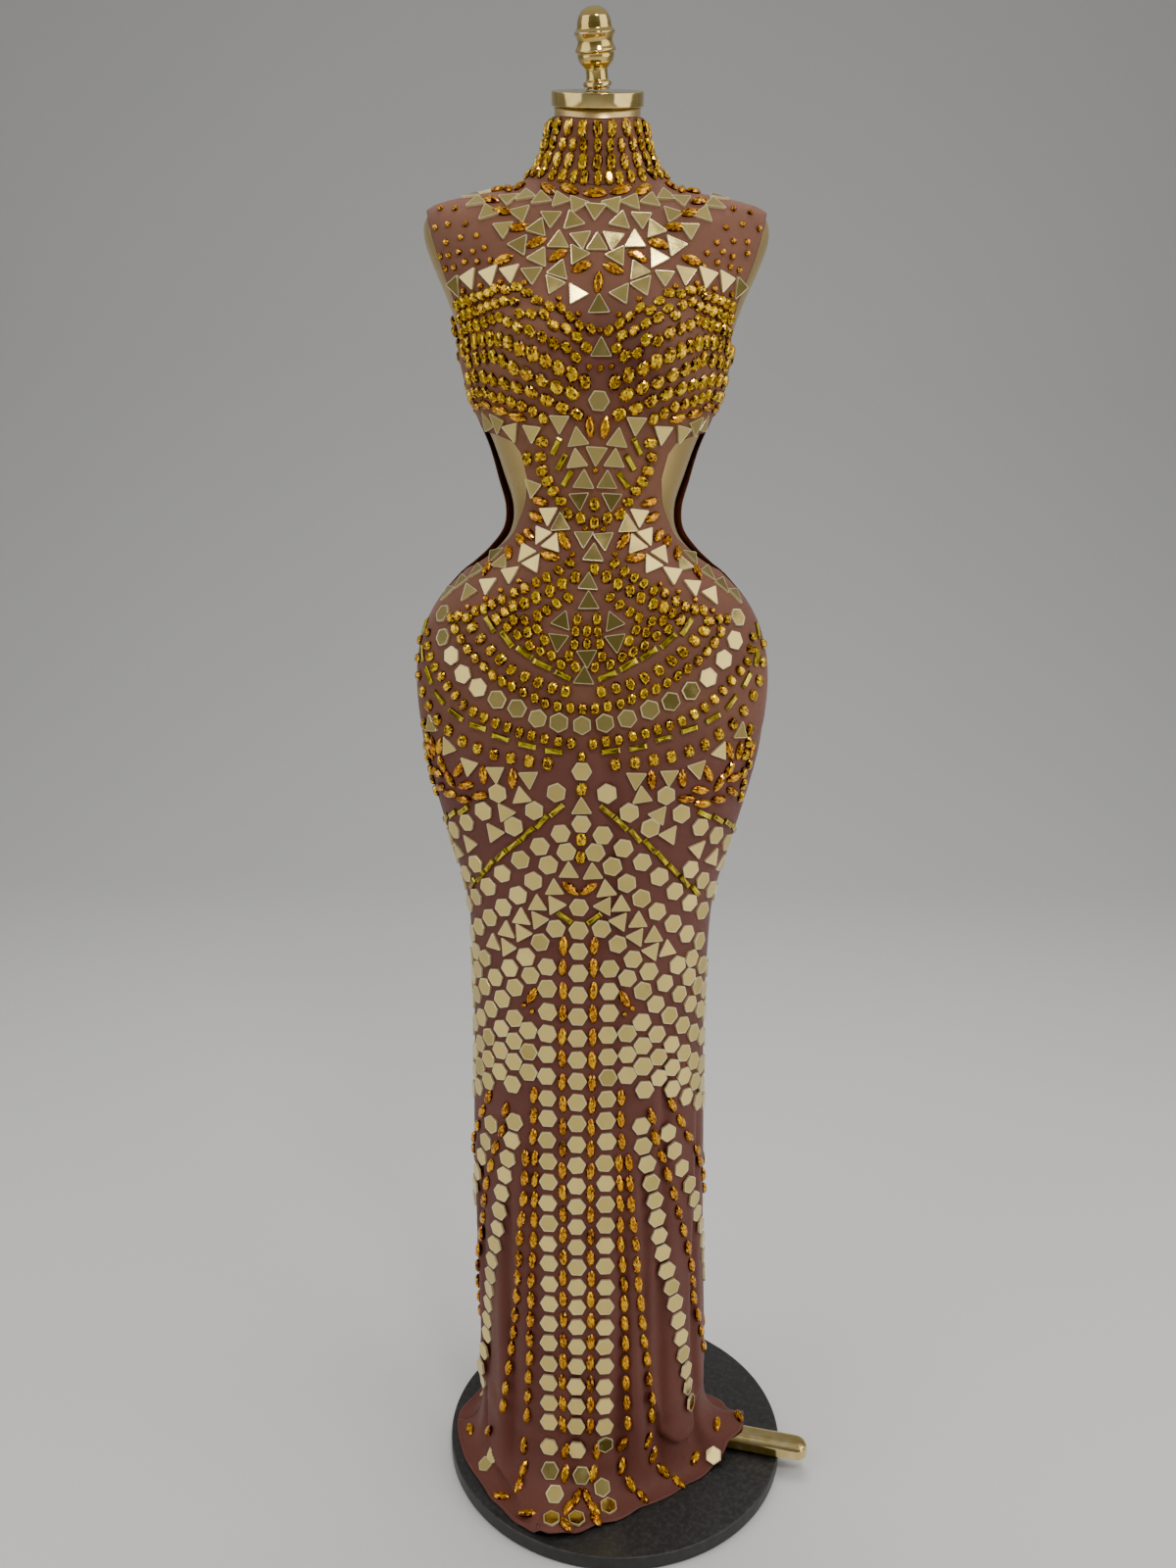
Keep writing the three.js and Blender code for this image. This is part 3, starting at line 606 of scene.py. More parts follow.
def turned(profile: Sequence[tuple[float, float]], segments: int) -> tuple[np.ndarray, list[tuple[int, ...]]]:
    """A turned solid round Z from a profile of (radius, height) that starts and ends on the axis.

    Args:
        profile: The profile in mm, from the bottom to the top.
        segments: The number of steps round the axis.

    Returns:
        The points and the faces.
    """
    inner = profile[1:-1]
    angles = np.linspace(0, 2 * math.pi, segments, endpoint=False)
    rings = [(r * np.cos(a), r * np.sin(a), h) for r, h in inner for a in angles]
    points = [(0, 0, profile[0][1]), *rings, (0, 0, profile[-1][1])]
    faces: list[tuple[int, ...]] = []
    for j in range(segments):
        k = (j + 1) % segments
        faces.append((0, 1 + k, 1 + j))
        last = 1 + (len(inner) - 1) * segments
        faces.append((last + j, last + k, len(points) - 1))
        for i in range(len(inner) - 1):
            a, b = 1 + i * segments, 1 + (i + 1) * segments
            faces.append((a + j, a + k, b + k, b + j))
    return np.array(points, float), faces


def rounded(
    profile: Sequence[tuple[float, float]], radius: float, steps: int = 4
) -> list[tuple[float, float]]:
    """A profile with its corners off the axis rounded.

    Args:
        profile: Points of (radius, height).
        radius: The rounding in mm.
        steps: Pieces of each rounded corner.

    Returns:
        The profile with an arc-like curve at each corner.
    """
    made = [profile[0]]
    for before, corner, after in zip(profile, profile[1:], profile[2:]):
        before_v, corner_v, after_v = np.array(before), np.array(corner), np.array(after)
        to_before, to_after = before_v - corner_v, after_v - corner_v
        reach = min(radius, np.linalg.norm(to_before) / 2, np.linalg.norm(to_after) / 2)
        start = corner_v + to_before / np.linalg.norm(to_before) * reach
        end = corner_v + to_after / np.linalg.norm(to_after) * reach
        for t in np.linspace(0, 1, steps + 1):
            made.append(tuple(start * (1 - t) ** 2 + corner_v * 2 * t * (1 - t) + end * t**2))
    made.append(profile[-1])
    return made


class Side(Enum):
    """The face of the gown that a row of stones is set on."""

    FRONT = "front"
    BACK = "back"


class StoneKind(Enum):
    """The kinds of tile and stone."""

    TRIANGLE = "triangle"
    HEXAGON = "hexagon"
    NAVETTE = "navette"
    OVAL = "oval"
    BAGUETTE = "baguette"
    ROUND = "round"
    LONG_OVAL = "long_oval"


TRIANGLE, HEXAGON, NAVETTE, OVAL, BAGUETTE, ROUND, LONG_OVAL = StoneKind


class Turn(Enum):
    """How a row's stones are turned with the row."""

    ALONG = "along"
    ACROSS = "across"


@dataclass(frozen=True)
class StoneCut:
    """One kind of stone, in mm.

    Attributes:
        width: Its width.
        length: Its length.
        height: How far it stands off the cloth.
        sides: Corners of its outline.
        table: The flat top's share of the outline.
        ease: How readily it gives way to a neighbour.
        mirror: Whether it is a flat mirror tile.
    """

    width: float
    length: float
    height: float
    sides: int
    table: float
    ease: float
    mirror: bool = False


CUTS = {
    TRIANGLE: StoneCut(24, 20.8, 2.3, 3, 0, 0.5, True),
    HEXAGON: StoneCut(23.6, 20.4, 2.3, 6, 0, 0.5, True),
    NAVETTE: StoneCut(10.6, 23.4, 4.4, 14, 0.5, 1),
    OVAL: StoneCut(10.4, 13.2, 4.6, 12, 0.54, 1),
    BAGUETTE: StoneCut(6.2, 21, 2.8, 4, 0.7, 0.8),
    ROUND: StoneCut(6.5, 6.5, 3.4, 10, 0.5, 1),
    LONG_OVAL: StoneCut(10.8, 18.8, 4.6, 12, 0.56, 1),
}
CUSHION = 2.5  # how square the ovals' outline is: 2 is an ellipse


@dataclass(frozen=True)
class StoneMesh:
    """A stone on z = 0, its long way along Y: points, faces, and each face's slot and usual painted light
    level, for painted glints and dark reflections.
    """

    points: np.ndarray
    faces: list[tuple[int, ...]]
    slots: list[int]
    painted_facet_lights: list[float]


def stone_outline(kind: StoneKind) -> np.ndarray:
    """The outline of a stone, counter-clockwise, in mm."""
    cut = CUTS[kind]
    if kind is TRIANGLE:
        reach = cut.width / math.sqrt(3)
        return cut_corners([(0, reach), (-cut.width / 2, -reach / 2), (cut.width / 2, -reach / 2)], 1.9)
    if kind is HEXAGON:
        reach = cut.width / 2
        corners = [(reach * math.cos(a), reach * math.sin(a)) for a in np.radians(np.arange(0, 360, 60))]
        return cut_corners(corners, 1.1)
    if kind is BAGUETTE:
        w, h = cut.width / 2, cut.length / 2
        return np.array([(w, -h), (w, h), (-w, h), (-w, -h)])
    angles = np.radians(np.arange(cut.sides) * 360 / cut.sides + 90)
    power = 1 if kind is ROUND else 2 / CUSHION
    if kind is NAVETTE:
        across = signed_power(np.cos(angles), 1.2)
        return np.stack([across * cut.width / 2, np.sin(angles) * cut.length / 2], -1)
    outline = np.stack([signed_power(np.cos(angles), power), signed_power(np.sin(angles), power)], -1)
    return outline * (cut.width / 2, cut.length / 2)


def plan_outline(kind: StoneKind) -> np.ndarray:
    """A stone's outline with few corners, for finding room for it."""
    outline = stone_outline(kind)
    return outline[1::3] if CUTS[kind].mirror else outline


def cut_corners(corners: Sequence[tuple[float, float]], reach: float) -> np.ndarray:
    """An outline with each corner replaced by three points.

    Args:
        corners: The sharp corners in order.
        reach: How far along each side the corner is taken off, in mm.

    Returns:
        The new outline.
    """
    made = []
    count = len(corners)
    for i in range(count):
        before, corner, after = (np.array(corners[(i + k) % count], float) for k in (-1, 0, 1))
        to_before = (before - corner) / np.linalg.norm(before - corner) * reach
        to_after = (after - corner) / np.linalg.norm(after - corner) * reach
        made += [corner + to_before, corner + (to_before + to_after) * 0.28, corner + to_after]
    return np.array(made)


def mirror_tile(kind: StoneKind) -> StoneMesh:
    """A flat mirror with a thin raised rim. Slot 0 is the mirror and slot 1 its rim."""
    outline = stone_outline(kind)
    height = CUTS[kind].height
    count = len(outline)
    inner = outline * (1 - 1.5 / np.linalg.norm(outline, axis=1).mean())
    rings = [(outline, -0.7), (outline, height - 0.35), (outline * 0.985, height), (inner, height - 0.1)]
    points = [(*p, z) for ring, z in rings for p in ring]
    faces: list[tuple[int, ...]] = [tuple(range(count))[::-1], tuple(range(3 * count, 4 * count))]
    slots = [1, 0]
    for level in range(len(rings) - 1):
        for j in range(count):
            k = (j + 1) % count
            a, b = level * count, (level + 1) * count
            faces.append((a + j, a + k, b + k, b + j))
            slots.append(1)
    return StoneMesh(np.array(points, float), faces, slots, [0.5] * len(faces))


def cut_stone(kind: StoneKind) -> StoneMesh:
    """A cut stone: a low girdle, a crown of facets, and a flat table whose fan of facets carries painted
    reflections of the facets behind it; the girdle is painted dark.
    """
    cut = CUTS[kind]
    outline = stone_outline(kind)
    count = len(outline)
    middle = outline * (0.5 + cut.table / 2)
    if kind is not BAGUETTE:
        middle = (middle + np.roll(middle, -1, 0)) / 2
    table = outline * cut.table
    rings = [
        (outline * 0.9, -0.9), (outline, cut.height * 0.3), (middle, cut.height * 0.8), (table, cut.height)
    ]
    points = [(*p, z) for ring, z in rings for p in ring] + [(0, 0, cut.height)]
    top = len(points) - 1
    faces: list[tuple[int, ...]] = [tuple(range(count))[::-1]]
    # Painted light levels of the facets: dark on the girdle, brighter up the crown to the table, for painted
    # glints and dark reflections.
    painted_facet_lights = [0.1]
    for j in range(count):
        k = (j + 1) % count
        faces.append((j, k, count + k, count + j))
        painted_facet_lights.append(0.12)
        if kind is BAGUETTE:
            faces.append((count + j, count + k, 2 * count + k, 2 * count + j))
            faces.append((2 * count + j, 2 * count + k, 3 * count + k, 3 * count + j))
            painted_facet_lights += [0.4, 0.6]
        else:
            faces.append((count + j, count + k, 2 * count + j))
            faces.append((count + k, 2 * count + k, 2 * count + j))
            faces.append((2 * count + j, 2 * count + k, 3 * count + k))
            faces.append((2 * count + j, 3 * count + k, 3 * count + j))
            painted_facet_lights += [0.34, 0.5, 0.66, 0.56]
        faces.append((3 * count + j, 3 * count + k, top))
        painted_facet_lights.append(0.58)
    return StoneMesh(np.array(points, float), faces, [0] * len(faces), painted_facet_lights)


STONES = {kind: mirror_tile(kind) if CUTS[kind].mirror else cut_stone(kind) for kind in StoneKind}


@dataclass(frozen=True)
class Row:
    """A row of one kind of stone on one half of the gown, repeated on the other half.

    Attributes:
        kind: The kind of stone.
        pitch: Distance between stones in mm.
        points: (distance from the middle line, height) of the row's curve, in mm.
        turn: Degrees clockwise from upright, or a pair for the row's two ends, or with the row.
        size: A factor on the stone's size.
        loose: How far a stone may lie off its place, in mm.
    """

    kind: StoneKind
    pitch: float
    points: Sequence[tuple[float, float]]
    turn: float | tuple[float, float] | Turn = 0.0
    size: float = 1.0
    loose: float = 0.8


# Tiles come first: a stone that would touch one that is already set is left out.
ROWS = [
    # Neck and shoulders
    Row(NAVETTE, 28, [(0, 1549), (58, 1560)], 90, 1.1),
    Row(NAVETTE, 13, [(88, 1566), (104, 1564), (118, 1561)], (30, 150), 0.8),
    Row(TRIANGLE, 22, [(64, 1566), (84, 1572)], (0, 30)),
    Row(TRIANGLE, 22, [(166, 1564), (144, 1555), (118, 1532)], (60, 70)),
    Row(TRIANGLE, 22, [(99, 1513), (83, 1496), (62, 1482), (41, 1468)], -30),
    Row(TRIANGLE, 23, [(46, 1453), (23, 1444)], 30),
    Row(TRIANGLE, 9, [(0, 1432)]),
    Row(TRIANGLE, 22, [(97, 1547), (76, 1530), (60, 1511), (39, 1498)], (0, 12)),
    Row(TRIANGLE, 9, [(20, 1484)], 30),
    Row(TRIANGLE, 20, [(0, 1498), (16, 1502)], (0, -40)),
    Row(TRIANGLE, 21, [(25, 1520), (45, 1524)], (-90, -30)),
    Row(TRIANGLE, 19, [(0, 1537), (20, 1538), (38, 1541), (56, 1545), (74, 1551)], (60, 60)),
    Row(NAVETTE, 9, [(0, 1519)], 90),
    Row(NAVETTE, 9, [(0, 1456)]),
    Row(NAVETTE, 26, [(18, 1473), (40, 1483), (63, 1497), (81, 1514), (99, 1531), (122, 1551)], (113, 130)),
    Row(NAVETTE, 9, [(101, 1481)], 95),
    Row(TRIANGLE, 24.6, [(69, 1463), (93, 1466), (118, 1465), (143, 1464), (167, 1459)], (46, 60)),
    Row(ROUND, 24, [(81, 1452), (104, 1454), (131, 1453), (156, 1451)]),
    Row(ROUND, 15, [(112, 1480), (178, 1479)], loose=3),
    Row(ROUND, 16, [(118, 1492), (184, 1492)], loose=3),
    Row(ROUND, 20, [(128, 1504), (188, 1506)], loose=3),
    Row(ROUND, 20, [(142, 1521), (186, 1522)], loose=3),
    Row(ROUND, 20, [(158, 1538), (180, 1540)], loose=3),
    Row(ROUND, 9, [(21, 1424)]),
    Row(ROUND, 9, [(42, 1436)]),
    Row(ROUND, 9, [(0, 1408)]),
    # Bust
    Row(TRIANGLE, 9, [(0, 1389)]),
    Row(HEXAGON, 9, [(0, 1339)], 0),
    Row(ROUND, 12, [(0, 1371), (12, 1373)]),
    Row(OVAL, 11.6, [(66, 1437), (76, 1442), (101, 1449), (132, 1444), (186, 1436)], (70, 10), 1.02),
    Row(OVAL, 10.6, [(13, 1410), (23, 1414), (42, 1427), (53, 1431)], 40, 0.95),
    Row(
        OVAL, 11.6, [(20, 1394), (31, 1403), (54, 1416), (78, 1425), (107, 1437), (146, 1433), (190, 1425)],
        (60, 5), 1.02
    ),
    Row(
        OVAL, 12.4, [(28, 1383), (44, 1390), (70, 1401), (95, 1412), (125, 1422), (186, 1414)], (40, 0),
        1.08
    ),
    Row(OVAL, 15, [(17, 1357), (45, 1371), (78, 1384), (116, 1398), (162, 1405), (190, 1401)], (12, 0), 1.3),
    Row(OVAL, 17, [(29, 1346), (50, 1353), (69, 1361), (92, 1370), (132, 1386), (176, 1387)], (40, 10), 1.26),
    Row(
        OVAL, 17, [(23, 1325), (42, 1334), (60, 1342), (80, 1351), (107, 1357), (139, 1366), (176, 1372)],
        (55, 20), 1.24
    ),
    Row(OVAL, 13, [(59, 1322), (71, 1329), (96, 1338), (134, 1349), (176, 1352)], (10, 30), 1.05),
    Row(NAVETTE, 26, [(89, 1326), (116, 1334), (142, 1340), (166, 1342)], (66, 80)),
    Row(NAVETTE, 9, [(8, 1313)], 8),
    # Round the top of the cut-outs, and the waist
    Row(TRIANGLE, 21, [(140, 1322), (119, 1318), (99, 1312)], (0, 60)),
    Row(TRIANGLE, 9, [(72, 1309)], 50),
    Row(TRIANGLE, 9, [(40, 1318)], 52),
    Row(TRIANGLE, 9, [(21, 1301)]),
    Row(TRIANGLE, 9, [(0, 1286)], 60),
    Row(TRIANGLE, 9, [(20, 1279)]),
    Row(TRIANGLE, 9, [(13, 1258)]),
    Row(TRIANGLE, 9, [(17, 1238)], 60),
    Row(BAGUETTE, 17, [(44, 1294), (30, 1260)], -38, 0.95),
    Row(OVAL, 13, [(59, 1298), (61, 1281), (59, 1268), (52, 1257)], (80, 110), 1.15),
    Row(OVAL, 9, [(79, 1282)], 165, 1.2),
    Row(ROUND, 9, [(0, 1269)]),
    Row(OVAL, 9, [(0, 1233)], 0, 1.1),
    Row(OVAL, 14.5, [(0, 1214), (15, 1219), (30, 1224), (37, 1236), (46, 1249)], (0, 100), 1.1),
    Row(ROUND, 9, [(9, 1207)]),
    Row(TRIANGLE, 9, [(71, 1251)], 30),
    Row(TRIANGLE, 20, [(83, 1234), (91, 1214), (106, 1196)], (10, 0)),
    Row(TRIANGLE, 9, [(124, 1178)], -30),
    Row(TRIANGLE, 9, [(51, 1222)], 62),
    Row(TRIANGLE, 9, [(38, 1211)], 5),
    Row(TRIANGLE, 22, [(59, 1200), (76, 1183)], 60),
    Row(TRIANGLE, 22, [(46, 1192), (66, 1170)], 0),
    Row(TRIANGLE, 9, [(10.5, 1197)], 60),
    Row(TRIANGLE, 9, [(0, 1180)]),
    Row(TRIANGLE, 22, [(106, 1171), (91, 1159)], (20, -30)),
    Row(TRIANGLE, 24, [(118, 1147), (142, 1137)], (-30, 60)),
    Row(TRIANGLE, 22, [(141, 1161), (167, 1147), (186, 1136)], (60, 70)),
    Row(NAVETTE, 20, [(64, 1238), (69, 1217), (83, 1197), (102, 1181)], (70, 62)),
    Row(NAVETTE, 9, [(33, 1195)], 45, 1.05),
    Row(NAVETTE, 9, [(48, 1178)], 98, 1.05),
    Row(NAVETTE, 9, [(128, 1163)], 25, 0.9),
    Row(ROUND, 9, [(23, 1181)]),
    Row(ROUND, 21, [(78, 1150), (98, 1139), (118, 1131), (140, 1122)], loose=2),
    # Hips
    Row(TRIANGLE, 18, [(0, 1149), (0, 1131)]),
    Row(TRIANGLE, 9, [(28, 1109)], -15),
    Row(TRIANGLE, 9, [(32, 1088)], 60),
    Row(TRIANGLE, 9, [(0, 1072)], 60),
    Row(TRIANGLE, 9, [(0, 1050)]),
    Row(OVAL, 9, [(0, 1163)], 0, 1.05),
    Row(OVAL, 13.6, [(25, 1171), (45, 1157), (70, 1144), (95, 1131), (121, 1121), (146, 1112)], (60, 10)),
    Row(OVAL, 14.2, [(17, 1157), (41, 1143), (69, 1128), (98, 1113)], (0, 40), 1.15),
    Row(OVAL, 13.6, [(23, 1135), (44, 1121), (54, 1112), (62, 1100)], (60, 20)),
    Row(OVAL, 13.6, [(48, 1092), (63, 1101), (82, 1110)], 30),
    Row(OVAL, 13.6, [(11, 1108), (14, 1088), (18, 1074)], 0),
    Row(OVAL, 13.6, [(0, 1098), (0, 1086)], 0),
    Row(OVAL, 13.6, [(11, 1062), (25, 1065), (48, 1078), (71, 1095), (95, 1115)], (20, 40)),
    Row(BAGUETTE, 24.5, [(24, 1052), (49, 1064), (70, 1077), (89, 1091), (107, 1107)], Turn.ALONG, 1.05),
    Row(
        OVAL, 16.6, [(19, 1034), (49, 1042), (79, 1056), (106, 1077), (130, 1099), (138, 1114)],
        Turn.ACROSS, 1.12
    ),
    Row(
        OVAL, 14, [(0, 1015), (30, 1018), (57, 1028), (94, 1046), (130, 1071), (149, 1092), (158, 1110)],
        (0, 35)
    ),
    Row(
        HEXAGON, 26.6,
        [(0, 997), (33, 1000), (60, 1008), (112, 1031), (134, 1044), (155, 1066), (170, 1087), (178, 1112)],
        Turn.ALONG, 0.94
    ),
    Row(
        OVAL, 15, [(12, 977), (46, 982), (88, 993), (135, 1013), (172, 1045), (194, 1067), (204, 1090)],
        Turn.ACROSS
    ),
    Row(
        BAGUETTE, 30,
        [(32, 967), (62, 972), (121, 991), (149, 1003), (175, 1022), (208, 1064), (220, 1096)], Turn.ALONG
    ),
    Row(
        OVAL, 21, [(38, 952), (81, 957), (119, 965), (153, 980), (190, 1006), (218, 1041), (232, 1080)],
        Turn.ACROSS, 1.15
    ),
    Row(OVAL, 9, [(0, 962)], 0, 0.9),
    Row(HEXAGON, 9, [(0, 945)], 0),
    Row(OVAL, 9, [(0, 924)], 5, 1.2),
    Row(TRIANGLE, 9, [(0, 903)], 0),
    Row(TRIANGLE, 31, [(190, 984), (160, 962), (129, 944), (97, 937)], (0, 60)),
    Row(TRIANGLE, 26, [(60, 936), (67, 913)], (60, 0)),
    Row(TRIANGLE, 26, [(88, 893), (101, 868)], 30),
    Row(TRIANGLE, 30, [(138, 848), (164, 832), (190, 818)], (30, 0)),
    Row(NAVETTE, 27, [(114, 935), (120, 910)], (-12, 90)),
    Row(NAVETTE, 18, [(78, 934)], -10),
    Row(NAVETTE, 17, [(137, 920), (142, 904)], 92, 1.0),
    Row(NAVETTE, 17, [(173, 960), (190, 962), (206, 958)], (-30, 30)),
    Row(NAVETTE, 17, [(147, 938), (163, 924), (163, 906)], (-40, 90)),
    Row(NAVETTE, 17, [(174, 943), (186, 930), (184, 912)], (20, 110)),
    Row(OVAL, 13, [(204, 980), (207, 948), (205, 908)], 5, 1.1),
    Row(BAGUETTE, 22.4, [(30, 898), (142, 798)], Turn.ALONG),
    Row(BAGUETTE, 25, [(146, 889), (172, 878), (204, 862)], Turn.ALONG),
    Row(HEXAGON, 31, [(28, 920), (54, 899)], 20),
    Row(HEXAGON, 31, [(96, 917), (116, 891), (140, 875), (166, 860), (192, 846)], Turn.ALONG),
    Row(HEXAGON, 9, [(77, 878)], 30),
    Row(HEXAGON, 25.5, [(0, 884)], 0),
    Row(
        HEXAGON, 28, [(24, 871), (46, 856), (70, 838), (90, 820), (110, 801), (134, 782), (158, 765)],
        Turn.ALONG
    ),
    Row(OVAL, 19, [(0, 865), (0, 846)], 5, 1.2),
    Row(
        HEXAGON, 27,
        [(15, 850), (36, 834), (52, 815), (69, 797), (88, 779), (108, 762), (130, 744), (154, 726)],
        Turn.ALONG
    ),
    Row(HEXAGON, 27, [(128, 822), (150, 805), (176, 789), (200, 778)], Turn.ALONG),
    # Thighs
    Row(TRIANGLE, 27, [(13, 826), (28, 806), (48, 786), (68, 766), (87, 747), (106, 728)], 0),
    Row(TRIANGLE, 27, [(28, 785), (48, 765), (67, 747), (86, 728)], (30, 38)),
    Row(NAVETTE, 9, [(10, 806)], 50),
    Row(HEXAGON, 27.2, [(0, 784), (0, 112)], 0),
    Row(BAGUETTE, 9, [(15, 770)], 54),
    Row(NAVETTE, 28.4, [(18, 738), (18, 600), (17, 480), (17, 112)], 0, loose=0.6),
    Row(HEXAGON, 26.6, [(36, 709), (36, 560), (35, 480), (34, 112)], 0),
    Row(
        HEXAGON, 24.8, [(26, 757), (44, 740), (60, 722), (79, 706), (115, 676), (154, 645), (188, 624)],
        Turn.ALONG
    ),
    Row(NAVETTE, 9, [(54, 672)], -30),
    Row(ROUND, 11, [(54, 652), (64, 659)]),
    Row(
        HEXAGON, 27, [(57, 697), (74, 681), (94, 660), (116, 640), (142, 619), (170, 600), (196, 588)],
        Turn.ALONG
    ),
    Row(HEXAGON, 27.6, [(76, 641), (97, 622), (119, 600), (145, 580), (172, 562), (198, 552)], Turn.ALONG),
    Row(HEXAGON, 27, [(58, 628), (78, 611), (100, 592), (124, 569), (150, 550), (178, 534)], Turn.ALONG),
    Row(HEXAGON, 27, [(58, 602), (82, 586), (104, 563), (130, 541), (160, 522), (190, 508)], Turn.ALONG),
    Row(HEXAGON, 27, [(60, 576), (84, 558)], Turn.ALONG),
    Row(HEXAGON, 27, [(140, 710), (166, 694), (194, 680)], Turn.ALONG),
    Row(HEXAGON, 27, [(124, 706), (144, 680), (170, 662), (198, 648)], Turn.ALONG),
    # Skirt
    Row(
        HEXAGON, 25,
        [
            (77, 509), (80, 484), (86, 458), (96, 413), (104, 360), (115, 308), (130, 250), (148, 150),
            (155, 112)
        ],
        Turn.ALONG
    ),
    Row(HEXAGON, 27, [(112, 494), (122, 468), (143, 423), (167, 372), (191, 320), (208, 260)], Turn.ALONG),
    Row(NAVETTE, 27.6, [(50, 547), (52, 518), (54, 492)], Turn.ALONG, loose=0.6),
    Row(
        NAVETTE, 27.6, [(50, 464), (52, 410), (54, 354), (58, 300), (61, 187), (65, 112)], Turn.ALONG,
        loose=0.6
    ),
    Row(
        NAVETTE, 27.6, [(62, 464), (66, 409), (72, 353), (76, 299), (82, 240), (90, 190), (99, 112)],
        Turn.ALONG, loose=0.6
    ),
    Row(
        NAVETTE, 27.6,
        [(90, 520), (98, 492), (108, 462), (123, 414), (139, 358), (155, 300), (175, 225), (195, 165)],
        Turn.ALONG, loose=0.6
    ),
    Row(NAVETTE, 28, [(119, 530), (131, 506), (145, 480), (182, 426), (205, 380)], Turn.ALONG),
]


@dataclass(frozen=True)
class CollarRow:
    """A ring of ovals round the neck: how many, how far below the edge in mm, and their size factor."""

    count: int
    down: float
    size: float


COLLAR_ROWS = [
    CollarRow(21, 10.5, 1), CollarRow(27, 27, 0.82), CollarRow(25, 43.5, 1), CollarRow(33, 60, 0.86)
]

# Stones on the part of the hem that lies on the base: kind, turn, size, then (degrees, share of the hem).
HEM_STONES = [
    (HEXAGON, 0, 1, [(-19, 0.12), (-18, 0.36), (-6, 0.12), (-4, 0.38), (-15, 0.64)]),
    (HEXAGON, 20, 0.95, [(4, 0.08), (3, 0.56), (6, 0.86), (-6, 0.93), (-15, 0.93), (64, 0.95)]),
    (HEXAGON, -25, 0.9, [(-55, 0.56), (-57, 0.8)]),
    (NAVETTE, 0, 1, [(-11, 0.14), (-11, 0.38), (1, 0.14), (0, 0.36), (-34, 0.2), (-32, 0.46), (-32, 0.72)]),
    (NAVETTE, 25, 1, [(-6, 0.66), (-9, 0.8), (12, 0.12), (12, 0.34), (26, 0.12), (30, 0.3), (-58, 0.24)]),
    (
        NAVETTE, -35, 1,
        [(-2, 0.68), (0, 0.84), (1, 0.98), (-10, 0.98), (16, 0.58), (22, 0.86), (36, 0.58), (43, 0.88)]
    ),
    (NAVETTE, 80, 1, [(-82, 0.8), (-40, 0.95), (-25, 0.96), (58, 0.68), (76, 0.72), (84, 0.98)]),
]

# The middle line of the pattern wanders a little to the left down the front: (height, u) in mm.
MIDDLE_LINE = [
    (60, -22), (158, -21), (282, -17), (341, -16), (530, -14), (784, -13), (844, -11), (997, -11), (1050, -9),
    (1072, -7), (1131, -5), (1149, -4), (1183, 0), (1269, 1), (1339, 4), (1389, 6), (1432, 3), (1519, 0),
    (1549, -2), (1650, 0),
]


def along_curve(
    points: Sequence[tuple[float, float]], pitch: float
) -> tuple[np.ndarray, np.ndarray, np.ndarray]:
    """Even steps along a smooth curve.

    Args:
        points: The curve's points.
        pitch: The wanted step in mm.

    Returns:
        The places, the share of the curve passed at each, and the curve's direction there.
    """
    fixed = np.array(points, float)
    if len(fixed) == 1:
        return fixed, np.zeros(1), np.array([[0.0, 1.0]])
    padded = np.concatenate([[2 * fixed[0] - fixed[1]], fixed, [2 * fixed[-1] - fixed[-2]]])
    fine = []
    for a, b, c, d in zip(padded, padded[1:], padded[2:], padded[3:]):
        for t in np.linspace(0, 1, 16, endpoint=False):
            fine.append(
                0.5 * (
                    2 * b + (c - a) * t + (2 * a - 5 * b + 4 * c - d) * t**2 + (3 * b - a - 3 * c + d) * t**3
                )
            )
    fine = np.array([*fine, fixed[-1]])
    run = np.concatenate([[0], np.cumsum(np.linalg.norm(np.diff(fine, axis=0), axis=1))])
    count = max(int(round(run[-1] / pitch)), 1)
    wanted = np.linspace(0, run[-1], count + 1)
    places = np.stack([np.interp(wanted, run, fine[:, k]) for k in (0, 1)], -1)
    ahead = np.stack([np.interp(np.minimum(wanted + 2, run[-1]), run, fine[:, k]) for k in (0, 1)], -1)
    behind = np.stack([np.interp(np.maximum(wanted - 2, 0), run, fine[:, k]) for k in (0, 1)], -1)
    return places, wanted / run[-1], ahead - behind


@dataclass(frozen=True)
class Surveyor:
    """Finds section numbers and angles for places given as (u, z) on the cloth.

    u is the distance in mm round the ring from the middle line of the front or back, towards +X.
    """

    shape: GownShape = SHAPE
    samples: int = 121

    def find(self, u: np.ndarray, z: np.ndarray, side: Side) -> tuple[np.ndarray, np.ndarray]:
        """Section numbers and angles of places on the face.

        Args:
            u: Distances round the ring.
            z: Heights.
            side: The face.

        Returns:
            The section numbers and the angles in degrees.
        """
        sides = np.array([section.side for section in SECTIONS], float)
        s = np.where(z < sides[0], -0.4, np.interp(z, sides, np.arange(TOP + 1)))
        spread = np.linspace(0, 120, self.samples)
        way = np.sign(u)[:, None]
        degrees = spread[None, :] * way if side is Side.FRONT else 180 - spread[None, :] * way
        degrees = np.where(way == 0, 0.0 if side is Side.FRONT else 180.0, degrees)
        found = np.zeros_like(u)
        for _ in range(14):
            ring = self.shape.face(s[:, None], degrees)
            run = np.cumsum(np.linalg.norm(np.diff(ring, axis=1), axis=2), axis=1)
            run = np.concatenate([np.zeros((len(u), 1)), run], 1)
            found = np.array([np.interp(abs(u[k]), run[k], degrees[k]) for k in range(len(u))])
            here = self.shape.face(s, found)[:, 2]
            slope = (self.shape.face(s + 0.02, found)[:, 2] - here) / 0.02
            step = (z - here) / np.where(np.abs(slope) < 1, 1, slope)
            s = np.clip(s + np.clip(step, -0.8, 0.8), -0.97, NECKLINE - 0.02)
        return s, found


